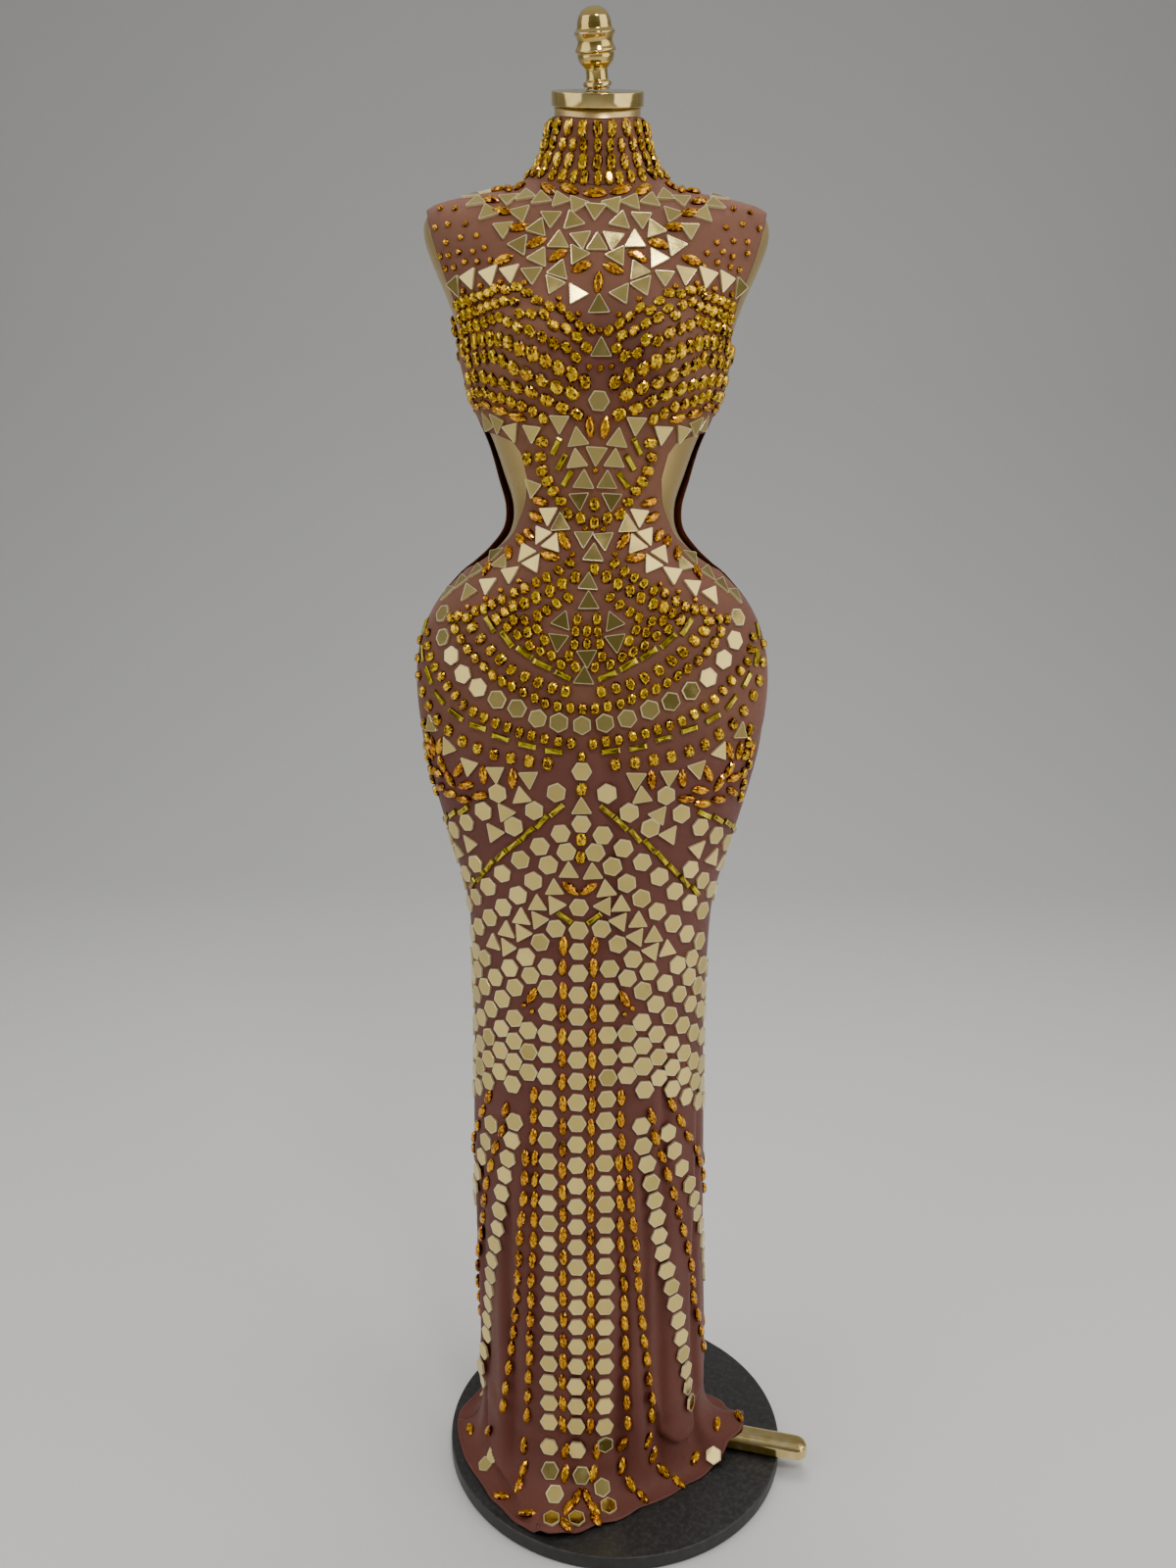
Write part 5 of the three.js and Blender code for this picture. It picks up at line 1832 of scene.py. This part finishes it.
class Wardrobe:
    """Every finish's material, built once."""

    def __init__(self, effects: Effects) -> None:
        """Builds the materials."""
        # The cloth's second colour is the painted sheen of the gold form seen through the net.
        self.cloth = ClothFinish(
            "power_mesh", (0.172, 0.064, 0.050), (0.265, 0.115, 0.062), (0.085, 0.030, 0.026)
        ).material(effects)
        self.thread = ClothFinish(
            "sewing_thread", (0.12, 0.05, 0.045), (0.12, 0.05, 0.045), (0.05, 0.02, 0.02), 0.7
        ).material(effects)
        self.mirror = MirrorFinish("gold_mirror", (0.52, 0.40, 0.13), (1.0, 0.78, 0.28)).material(effects)
        self.rim = MetalFinish(
            "mirror_rim", (0.82, 0.68, 0.28), (0.9, 0.82, 0.55), 0.3, 0.05, 0.3, 0.6
        ).material(effects)
        # The stone ramps run from near black to bright yellow; their dark and bright ends are painted
        # reflections and glints of the facets.
        amber = (
            (0.0, (0.020, 0.006, 0.0)),
            (0.2, (0.10, 0.032, 0.0)),
            (0.42, (0.50, 0.215, 0.0)),
            (0.72, (0.90, 0.50, 0.0)),
            (1.0, (1.0, 0.76, 0.03)),
        )
        orange = (
            (0.0, (0.035, 0.008, 0.0)),
            (0.25, (0.20, 0.050, 0.0)),
            (0.6, (0.74, 0.27, 0.0)),
            (1.0, (1.0, 0.60, 0.015)),
        )
        yellow = (
            (0.0, (0.07, 0.045, 0.0)),
            (0.35, (0.30, 0.21, 0.0)),
            (0.75, (0.66, 0.50, 0.004)),
            (1.0, (1.0, 0.85, 0.06)),
        )
        self.amber = StoneFinish("amber_stone", amber).material(effects)
        self.orange = StoneFinish("orange_stone", orange).material(effects)
        self.yellow = StoneFinish("gold_stone", yellow, 0.6).material(effects)
        self.form = MetalFinish(
            "form_gold", (0.68, 0.48, 0.18), (0.74, 0.58, 0.28), 0.26, 0.1, 0.3, 0.8
        ).material(effects)
        self.brass = MetalFinish(
            "polished_gold", (0.72, 0.52, 0.17), (0.85, 0.70, 0.38), 0.07, 0.12
        ).material(effects)
        self.post = MetalFinish(
            "post_metal", (0.50, 0.47, 0.40), (0.7, 0.68, 0.6), 0.22, 0.3
        ).material(effects)
        self.zip_metal = MetalFinish(
            "zip_metal", (0.62, 0.50, 0.26), (0.8, 0.7, 0.45), 0.22, 0.1
        ).material(effects)
        self.base = PowderFinish("base_black", (0.020, 0.020, 0.021), (0.10, 0.10, 0.10)).material(effects)
        self.floor = FloorFinish().material(effects)

    def stone_of(self, kind: StoneKind) -> bpy.types.Material:
        """The finish of a kind of cut stone."""
        chosen = {OVAL: self.amber, LONG_OVAL: self.amber, BAGUETTE: self.yellow}
        return chosen.get(kind, self.orange)

    @staticmethod
    def slot_of(kind: StoneKind) -> str:
        """The record's slot of a kind of cut stone."""
        return "gold_stone" if kind is BAGUETTE else "amber_stone"


@dataclass
class ClothPanel:
    """One panel of the gown as a thin shell on its solid's outer face.

    Attributes:
        node: The solid that it stands for.
        start: The section number of its lower edge.
        end: The section number of its upper edge.
        rows: Rows of its grid.
        columns: Columns of its grid.
        left: Its left edge in degrees, as seen from outside.
        right: Its right edge.
        below: How far its outer face lies inside the solid's, in mm.
        hem_rows: Rows of the part that turns out onto the disc.
    """

    node: str
    start: float
    end: float
    rows: int
    columns: int
    left: Callable[[np.ndarray], np.ndarray]
    right: Callable[[np.ndarray], np.ndarray]
    below: float = 0.25
    hem_rows: int = 40

    def grid(self) -> tuple[np.ndarray, np.ndarray]:
        """Section numbers and angles of the grid, with rows on each corner of the edges."""
        corners = [edge[0] for edge in EDGES if self.start < edge[0] < self.end]
        even = np.linspace(max(self.start, 0), self.end, self.rows)
        low = np.linspace(self.start, 0, self.hem_rows) if self.start < 0 else []
        s = np.unique(np.concatenate([low, even, corners]))
        share = np.linspace(0, 1, self.columns + 1)
        left, right = self.left(s)[:, None], self.right(s)[:, None]
        return np.broadcast_to(s[:, None], (len(s), len(share))), left + (right - left) * share[None, :]

    def build(self, finishes: Wardrobe) -> bpy.types.Object:
        """Args:
            finishes: The materials.

        Returns:
            The piece.
        """
        s, degrees = self.grid()
        z = SHAPE.face(s, degrees)[..., 2]
        outer = cloth_face(s, degrees, -self.below)
        inner = cloth_face(s, degrees, -self.below - CLOTH)
        points, faces = grid_shell(outer, inner)
        piece = add_mesh(self.node + "_cloth", points, faces, [finishes.cloth])
        across = np.concatenate(
            [np.zeros((len(s), 1)), np.cumsum(np.linalg.norm(np.diff(outer, axis=1), axis=2), 1)], 1
        )
        across -= across[:, self.columns // 2][:, None]
        up = np.linalg.norm(np.diff(outer, axis=0), axis=2)
        along = np.concatenate([np.zeros((1, self.columns + 1)), np.cumsum(up, 0)])
        flat = np.stack([across, along], -1).reshape(-1, 2) * MM
        self.store_flat(piece, np.concatenate([flat, flat]))
        # Painted light: the gold form's reflection through the net, stronger above the hips and most at the
        # bust, with painted shading in the cleavage between the cups.
        painted_form_sheen = smooth((z - 930) / 90) * (0.55 + 0.45 * np.exp(-(((z - 1380) / 150) ** 2)))
        painted_cleavage_shading = np.exp(-((wrapped(degrees) / 26) ** 2)) * np.exp(-(((z - 1380) / 70) ** 2))
        painted_form_sheen = (painted_form_sheen * (1 - 0.8 * painted_cleavage_shading)).reshape(-1)
        add_values(piece, "painted_form_sheen", np.concatenate([painted_form_sheen, painted_form_sheen]))
        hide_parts(self.node)
        return piece

    @staticmethod
    def store_flat(piece: bpy.types.Object, flat: np.ndarray) -> None:
        """Stores the cloth's flat coordinates in metres as its UV map."""
        layer = piece.data.uv_layers.new(name="flat")
        corners = np.zeros(len(piece.data.loops), np.int32)
        piece.data.loops.foreach_get("vertex_index", corners)
        layer.data.foreach_set("uv", flat[corners].astype(np.float32).reshape(-1))


@dataclass
class Gown:
    """The gown: its panels, collar, zip, sewing and stones."""

    finishes: Wardrobe
    front_columns: int = 130
    back_columns: int = 60
    panel_rows: int = 420
    tooth_pitch: float = 2.4
    zip_clear: float = 6
    zip_turn: float = 9
    hem_repeat: float = 62
    hem_repeat_spread: float = 1.25

    def panels(self) -> list[bpy.types.Object]:
        """Makes the front, the backs and the collar."""
        shapes = [
            ClothPanel("front", -1, NECKLINE, self.panel_rows, self.front_columns,
                       lambda s: -SHAPE.front_edge(s), SHAPE.front_edge),
            ClothPanel("back_left", -1, NECKLINE, self.panel_rows, self.back_columns,
                       SHAPE.back_edge, SHAPE.back_middle),
            ClothPanel("back_right", -1, NECKLINE, self.panel_rows, self.back_columns,
                       lambda s: -SHAPE.back_middle(s), lambda s: -SHAPE.back_edge(s)),
            ClothPanel("collar", COLLAR_START, TOP, 30, 180, lambda s: -self.zip_edge(s), self.zip_edge),
        ]
        return [shape.build(self.finishes) for shape in shapes]

    @staticmethod
    def zip_edge(s: np.ndarray) -> np.ndarray:
        """The cloth's edge beside the zip in degrees."""
        row = np.maximum(s, 0)
        power = SHAPE.column("square", row) / 2
        return 180 - np.degrees((SHAPE.zip_slot / 2 / SHAPE.column("half", row)) ** power)

    def stones(self) -> list[bpy.types.Object]:
        """Sets the stones on the collar, the front and the backs."""
        surveyor = Surveyor()
        collar = SetStones("collar", Side.FRONT)
        for row in COLLAR_ROWS:
            self.ring_round_neck(collar, row)
        taken = SHAPE.face(np.array(collar.s), np.array(collar.degrees))
        front = SetStones("front", Side.FRONT)
        front.lay(ROWS, surveyor, taken)
        back = SetStones("back", Side.BACK, middle_clear=self.zip_clear)
        back.lay(ROWS, surveyor, taken)
        for kind, turn, size, places in HEM_STONES:
            for degrees, share in places:
                front.add(-share, degrees, turn + RNG.normal(0, 6), size, kind)
                if abs(degrees) < self.hem_repeat:
                    back.add(
                        -share, 180 - degrees * self.hem_repeat_spread, -turn + RNG.normal(0, 9), size, kind
                    )
        made = []
        for group in (front, back, collar):
            LOG.info("%s: %d stones", group.name, len(group.s))
            made += group.build(self.finishes)
        return made

    def ring_round_neck(self, collar: SetStones, row: CollarRow) -> None:
        """Sets one row of the collar at its distance down from the edge, clear of the zip."""
        degrees = -180 + 360 * (np.arange(row.count) + 0.5) / row.count
        degrees = degrees[np.abs(degrees) < 180 - self.zip_turn]
        steps = np.linspace(TOP, 31, 260)
        points = SHAPE.face(steps[:, None], degrees[None, :])
        run = np.concatenate(
            [np.zeros((1, len(degrees))), np.cumsum(np.linalg.norm(np.diff(points, axis=0), axis=2), 0)]
        )
        for k, angle in enumerate(degrees):
            s = float(np.interp(row.down, run[:, k], steps))
            collar.add(
                s, angle + RNG.normal(0, 0.6), RNG.normal(0, 5), row.size * RNG.normal(1, 0.02), LONG_OVAL
            )

    def cord_along(self, name: str, s: np.ndarray, degrees: np.ndarray, radius: float, lift: float,
                   material: bpy.types.Material) -> bpy.types.Object:
        """A thin raised line of sewing or binding on the cloth.

        Args:
            name: The piece's name.
            s: Section numbers along it.
            degrees: Angles along it.
            radius: Its radius in mm.
            lift: How far its middle lies off the solid's face, in mm.
            material: Its material.

        Returns:
            The piece.
        """
        path = cloth_face(s, degrees, lift)
        out = SHAPE.normal(s, degrees)
        tangent = np.gradient(path, axis=0)
        tangent /= np.linalg.norm(tangent, axis=1, keepdims=True)
        side = np.cross(tangent, out)
        side /= np.maximum(np.linalg.norm(side, axis=1, keepdims=True), 1e-9)
        out = np.cross(side, tangent)
        angles = np.arange(6) * math.pi / 3
        ring = side[:, None] * np.cos(angles)[None, :, None] + out[:, None] * np.sin(angles)[None, :, None]
        points = (path[:, None] + ring * radius).reshape(-1, 3)
        faces: list[tuple[int, ...]] = [tuple(range(6))[::-1], tuple(range(len(points) - 6, len(points)))]
        for i in range(len(path) - 1):
            for j in range(6):
                k = (j + 1) % 6
                faces.append((i * 6 + j, i * 6 + k, i * 6 + 6 + k, i * 6 + 6 + j))
        return add_mesh(name, points, faces, [material])

    def sewing(self) -> list[bpy.types.Object]:
        """Seams, and the bound edges of the cut-outs and armholes."""
        lines = []
        for way, hand in ((1, "left"), (-1, "right")):
            lower = np.linspace(-0.95, 14.0, 160)
            upper = np.linspace(19.75, 22.25, 40)
            shoulder = np.linspace(29.05, NECKLINE, 40)
            for name, s in (("side_seam", lower), ("rib_seam", upper), ("shoulder_seam", shoulder)):
                lines.append((f"{name}_{hand}", s, np.full_like(s, 90.0 * way), 0.55, -0.35))
            for name, start, end in (("waist", 14.05, 19.7), ("armhole", 22.3, 29)):
                s = np.linspace(start + 0.02, end - 0.02, 90)
                lines.append((f"{name}_front_edge_{hand}", s, way * SHAPE.front_edge(s), 0.75, -0.8))
                lines.append((f"{name}_back_edge_{hand}", s, way * SHAPE.back_edge(s), 0.75, -0.8))
        around = np.linspace(-176, 176, 240)
        lines.append(("collar_seam", np.full_like(around, NECKLINE + 0.01), around, 0.6, -0.3))
        lines.append(("collar_edge", np.full_like(around, TOP - 0.02), around, 0.7, -0.7))
        hem = np.linspace(-179.6, 179.6, 420)
        lines.append(("hem_edge", np.full_like(hem, -0.985), hem, 0.8, -0.9))
        made = [self.cord_along(*line, self.finishes.thread) for line in lines]
        return made

    def zip(self) -> list[bpy.types.Object]:
        """The zip's tape, as one strip across both sides, and its teeth; the slider and pull are finished
        with the form.
        """
        start = float(np.interp(SHAPE.zip_bottom, [row.back for row in SECTIONS], np.arange(TOP + 1))) + 0.02
        s = np.linspace(start, TOP, 260)
        columns = np.linspace(-1, 1, 9)
        row = np.maximum(s, 0)
        half = np.degrees((2.2 / SHAPE.column("half", row)) ** (SHAPE.column("square", row) / 2))
        degrees = 180 + half[:, None] * columns[None, :]
        grid_s = np.broadcast_to(s[:, None], degrees.shape)
        points, faces = grid_shell(SHAPE.moved(grid_s, degrees, -1.1), SHAPE.moved(grid_s, degrees, -1.9))
        tape = add_mesh("zip_tape_strip", points, faces, [self.finishes.thread])
        ClothPanel.store_flat(
            tape, np.concatenate([np.stack([degrees.ravel(), grid_s.ravel()], -1)] * 2) * MM
        )
        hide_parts("zip_chain")
        steps = np.linalg.norm(np.diff(SHAPE.face(s, 180.0), axis=0), axis=1)
        teeth = self.teeth(s)
        return [tape, teeth]

    def teeth(self, s: np.ndarray) -> bpy.types.Object:
        """The zip's interlocking teeth."""
        path = SHAPE.face(s, 180.0)
        run = np.concatenate([[0], np.cumsum(np.linalg.norm(np.diff(path, axis=0), axis=1))])
        count = int(run[-1] / self.tooth_pitch) * 2
        wanted = np.linspace(2, run[-1] - 9, count)
        rows = np.interp(wanted, run, s)
        centre = SHAPE.moved(rows, 180.0, -0.75)
        out = SHAPE.normal(rows, 180.0)
        up = SHAPE.face(rows + 0.02, 180.0) - SHAPE.face(rows - 0.02, 180.0)
        up /= np.linalg.norm(up, axis=1, keepdims=True)
        across = np.cross(up, out)
        tooth = ((-0.9, -0.42), (0.9, -0.5), (0.9, 0.5), (-0.9, 0.42))
        corners = np.array([(x, y, z) for z in (-0.35, 0.45) for x, y in tooth])
        box = [(3, 2, 1, 0), (4, 5, 6, 7), (0, 1, 5, 4), (1, 2, 6, 5), (2, 3, 7, 6), (3, 0, 4, 7)]
        points, faces = [], []
        for k in range(count):
            way = 1 if k % 2 else -1
            axes = np.stack([across[k] * way, up[k], out[k]])
            points.append(centre[k] + across[k] * way * 0.55 + corners @ axes)
            order = box if way > 0 else [face[::-1] for face in box]
            faces += [tuple(p + 8 * k for p in face) for face in order]
        piece = add_mesh(
            "zip_teeth", np.concatenate(points), faces, [self.finishes.zip_metal], smooth_faces=False
        )
        return piece


# The knob's profile from its foot to its top: (radius, height) in mm.
KNOB_PROFILE = [
    (0, 0), (13, 0), (13, 1.4), (9, 2), (15, 2.8), (15.5, 5), (14.6, 7.4), (11.6, 8.7), (11.6, 18.4),
    (13, 20.2), (17.5, 24.3), (19.6, 29.4), (19.4, 33), (21, 34.4), (22.2, 35.8), (19.8, 39.5),
    (18.2, 43.6), (19.4, 47.3), (22.3, 52), (20.5, 53.7), (18.4, 56), (18, 60.6), (16, 67), (12, 72),
    (6.5, 74.8), (0, 75.5),
]


def rod_profile(radius: float, length: float) -> list[tuple[float, float]]:
    """The profile of a plain round rod or disc."""
    return [(0, 0), (radius, 0), (radius, length), (0, length)]


@dataclass
class DressForm:
    """The limbless form, its neck cap, knob, post, base and pedal."""

    finishes: Wardrobe
    inset: float = 5
    bottom: float = 780
    neck_radius: float = 47
    neck_top: float = 1655
    neck_tilt: float = 21
    cap_radius: float = 50
    cap_thickness: float = 14.5
    base_radius: float = 221
    base_thickness: float = 18
    base_x: float = 40
    lean: float = -4.4
    knob_foot: float = 13
    post_radius: float = 16
    gap: float = 0.3
    lift: float = 0.1
    edge_inset: float = 0.045

    def torso(self) -> bpy.types.Object:
        """The smooth torso with a rounded lower edge."""
        degrees = np.linspace(0, 360, 144, endpoint=False)
        first = float(np.interp(self.bottom, [row.side for row in SECTIONS], np.arange(TOP + 1)))
        rows = np.concatenate([np.linspace(first + 0.12, 33.6, 300), np.linspace(33.7, TOP, 30)])
        rings = []
        for s in rows:
            ring = SHAPE.face(s, degrees, 25.0) - SHAPE.normal(np.full_like(degrees, s), degrees) * self.inset
            rings.append(ring)
        middle = rings[0].mean(axis=0)
        lower = []
        for share in np.linspace(0, 1, 7)[:-1]:
            ring = rings[0].copy()
            rounding = 1 - self.edge_inset * (1 - math.sin(share * math.pi / 2))
            ring[:, :2] = middle[:2] + (ring[:, :2] - middle[:2]) * rounding
            rise = 1 - math.cos(share * math.pi / 2)
            ring[:, 2] = self.bottom + self.lift + (rings[0][:, 2] - self.bottom) * rise
            lower.append(ring)
        angle = np.radians(degrees)
        across, ahead = self.neck_radius * np.sin(angle), -self.neck_radius * np.cos(angle)
        neck = [self.tipped(np.stack([across, ahead, np.full_like(angle, up)], -1)) for up in (-4, -self.gap)]
        rings = lower + rings + neck
        count = len(degrees)
        ends = [[[middle[0], middle[1], self.bottom + self.lift]], self.tipped(np.array([[0, 0, -self.gap]]))]
        points = np.concatenate([*rings, *ends])
        faces: list[tuple[int, ...]] = []
        low, high = len(points) - 2, len(points) - 1
        top = (len(rings) - 1) * count
        for j in range(count):
            k = (j + 1) % count
            faces += [(low, k, j), (high, top + j, top + k)]
            for i in range(0, top, count):
                faces.append((i + j, i + k, i + count + k, i + count + j))
        piece = add_mesh("torso_skin", points, faces, [self.finishes.form])
        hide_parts("torso")
        return piece

    def tipped(self, points: np.ndarray) -> np.ndarray:
        """Points given from the middle of the neck's flat top, tipped forward with it."""
        tilt = math.radians(self.neck_tilt)
        x, y, z = points.T
        ahead = y * math.cos(tilt) - z * math.sin(tilt)
        up = self.neck_top + y * math.sin(tilt) + z * math.cos(tilt)
        return np.stack([x, ahead, up], -1)

    def turned_piece(
        self, name: str, node: str, profile: Sequence[tuple[float, float]],
        place: tuple[float, float, float], material: bpy.types.Material, segments: int = 96
    ) -> bpy.types.Object:
        """A turned piece that stands for a solid.

        Args:
            name: The piece's name.
            node: The solid.
            profile: Its (radius, height) profile in mm.
            place: Where its foot stands, in mm.
            material: Its material.
            segments: Steps round it.

        Returns:
            The piece.
        """
        points, faces = turned(profile, segments)
        piece = add_mesh(name, points + np.array(place), faces, [material])
        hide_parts(node)
        return piece

    def build(self) -> list[bpy.types.Object]:
        """Makes the form's pieces."""
        brass, base, post = self.finishes.brass, self.finishes.base, self.finishes.post
        cap = rounded(rod_profile(self.cap_radius, self.cap_thickness), 1.6)
        disc = rounded(rod_profile(self.base_radius, self.base_thickness), 2.5)
        foot = self.base_thickness + self.gap
        rod = rounded(rod_profile(self.post_radius, self.bottom - foot - self.gap), 0.8)
        knob = rounded(KNOB_PROFILE, 1.6)
        return [
            self.torso(),
            self.head_piece("neck_cap_turned", "neck_cap", cap, self.gap, 0),
            self.head_piece("finial_turned", "finial", knob, self.cap_thickness + 2 * self.gap, self.lean),
            self.turned_piece("base_plate", "base_disc", disc, (self.base_x, 0, 0), base, 192),
            self.turned_piece("post_rod", "post", rod, (self.base_x, 0, foot), post),
            self.dressed("post_socket", post),
            self.dressed("pedal", brass),
            self.dressed("pedal_bracket", post),
            self.dressed("zip_slider", self.finishes.zip_metal),
            self.dressed("zip_pull", self.finishes.zip_metal),
        ]

    def head_piece(
        self, name: str, node: str, profile: Sequence[tuple[float, float]], up: float, lean: float
    ) -> bpy.types.Object:
        """A turned piece on the tipped neck: the cap, or the knob that leans to the left on its foot's edge.

        Args:
            name: The piece's name.
            node: The solid that it stands for.
            profile: Its (radius, height) profile in mm.
            up: How far it stands above the neck's top, in mm.
            lean: How far it leans, in degrees.

        Returns:
            The piece.
        """
        points, faces = turned(profile, 96)
        turn = math.radians(lean)
        x, y, z = points.T
        foot = up - self.knob_foot * math.sin(turn)
        leaning = np.stack(
            [x * math.cos(turn) + z * math.sin(turn), y, z * math.cos(turn) - x * math.sin(turn) + foot], -1
        )
        piece = add_mesh(name, self.tipped(leaning), faces, [self.finishes.brass])
        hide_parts(node)
        return piece

    @staticmethod
    def dressed(node: str, material: bpy.types.Material) -> bpy.types.Object:
        """A carried-over solid with its finish, its edges softened."""
        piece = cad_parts[node]
        for slot in piece.material_slots:
            slot.material = material
        if not piece.material_slots:
            piece.data.materials.append(material)
        softened = piece.modifiers.new("softened", "BEVEL")
        softened.width = 0.5 * MM
        softened.segments = 2
        softened.limit_method = "ANGLE"
        softened.angle_limit = math.radians(35)
        return piece


@dataclass
class Studio:
    """The floor, the lights, the surroundings and the camera at the photograph's angle."""

    camera_place: tuple[float, float, float] = (-0.004, -1.3974, 1.1963)
    tilt: float = 11.73
    roll: float = 0.496
    focal_length: float = 27.045
    sensor: float = 36.0
    floor_size: float = 9.0
    sweep_start: float = 2.6
    sweep_radius: float = 2.2
    sweep_top: float = 6.0

    def floor(self, finishes: Wardrobe) -> bpy.types.Object:
        """The plain pale floor, swept up far behind."""
        half = self.floor_size
        turn = np.linspace(0, math.pi / 2, 24)
        arc_y = self.sweep_start + self.sweep_radius * np.sin(turn)
        arc_z = self.sweep_radius * (1 - np.cos(turn))
        profile = [(-half, 0), *zip(arc_y, arc_z), (self.sweep_start + self.sweep_radius, self.sweep_top)]
        points = [(x, y, z - 0.6 * MM) for y, z in profile for x in (-half, half)]
        faces = [(2 * k, 2 * k + 1, 2 * k + 3, 2 * k + 2) for k in range(len(profile) - 1)]
        mesh = bpy.data.meshes.new("studio_floor")
        mesh.from_pydata(points, [], faces)
        mesh.polygons.foreach_set("use_smooth", np.full(len(faces), True))
        mesh.materials.append(finishes.floor)
        piece = bpy.data.objects.new("studio_floor", mesh)
        bpy.context.scene.collection.objects.link(piece)
        return piece

    def light(
        self, name: str, place: tuple[float, float, float], aim: tuple[float, float, float],
        size: tuple[float, float], power: float, colour: Colour = (1, 1, 1), mirrored: bool = True
    ) -> None:
        """A large soft light that points at a place, seen in the mirrors or not."""
        data = bpy.data.lights.new(name, "AREA")
        data.shape = "RECTANGLE"
        data.size, data.size_y = size
        data.energy = power
        data.color = colour
        lamp = bpy.data.objects.new(name, data)
        lamp.visible_glossy = mirrored
        lamp.location = place
        lamp.rotation_euler = (Vector(aim) - Vector(place)).to_track_quat("-Z", "Y").to_euler()
        bpy.context.scene.collection.objects.link(lamp)

    def lights(self) -> None:
        """Soft light from above and both sides, a little more from the front."""
        aim = (0, 0, 1.0)
        self.light("overhead", (0.1, 0.7, 3.3), aim, (2.0, 1.6), 70, (1.0, 0.98, 0.95), False)
        self.light("front_top", (0.5, -1.6, 3.0), aim, (0.42, 0.42), 26, (1.0, 0.98, 0.95))
        self.light("left_bank", (-2.6, -1.3, 2.1), aim, (2.7, 3.6), 62)
        self.light("right_bank", (2.5, -1.1, 2.0), aim, (2.7, 3.6), 80, (1.0, 0.97, 0.93))

    def surroundings(self) -> None:
        """Grey walls that fade upwards and are dimmer in front, for the mirrors to reflect."""
        world = bpy.data.worlds.new("studio")
        bpy.context.scene.world = world
        world.use_nodes = True
        nodes = Nodes(world.node_tree)
        ray = nodes.add("SeparateXYZ", None, Vector=nodes.add("TexCoord").outputs["Generated"])
        up = nodes.spread(ray.outputs["Z"], -0.5, 1.0, 0, 1)
        sky = nodes.ramp(
            up,
            (
                (0.0, (0.30, 0.29, 0.27)), (0.34, (0.42, 0.42, 0.41)), (0.6, (0.60, 0.60, 0.59)),
                (1.0, (0.9, 0.9, 0.88))
            )
        )
        front = nodes.spread(ray.outputs["Y"], -1.0, -0.5, 1.0, 0.0)
        sky = nodes.mix(nodes.math("MULTIPLY", front, 0.55), sky, (0.10, 0.10, 0.095, 1))
        background = nodes.add("Background", None, Color=sky, Strength=0.85)
        output = nodes.add("OutputWorld")
        world.node_tree.links.new(background.outputs["Background"], output.inputs["Surface"])

    def camera(self) -> None:
        """The camera, a little above the waist and looking slightly down."""
        data = bpy.data.cameras.new("camera")
        data.sensor_fit = "AUTO"
        data.sensor_width = self.sensor
        data.lens = self.focal_length
        data.clip_start = 0.05
        piece = bpy.data.objects.new("camera", data)
        pitch = Matrix.Rotation(math.radians(90 - self.tilt), 4, "X")
        turn = pitch @ Matrix.Rotation(math.radians(self.roll), 4, "Z")
        piece.matrix_world = Matrix.Translation(self.camera_place) @ turn
        bpy.context.scene.collection.objects.link(piece)
        bpy.context.scene.camera = piece
        bpy.context.scene.view_settings.look = "AgX - Punchy"


def main() -> None:
    """Builds the gown, the form and the studio, and reports each piece."""
    logging.basicConfig(level=logging.INFO, format="%(message)s")
    finishes = Wardrobe(Effects())
    studio = Studio()
    studio.camera()
    gown = Gown(finishes)
    pieces = gown.panels() + gown.sewing() + gown.zip() + gown.stones() + DressForm(finishes).build()
    for piece in pieces:
        LOG.info("%s: %d faces", piece.name, len(piece.data.polygons))
    studio.floor(finishes)
    studio.lights()
    studio.surroundings()


if __name__ == "__main__":
    main()
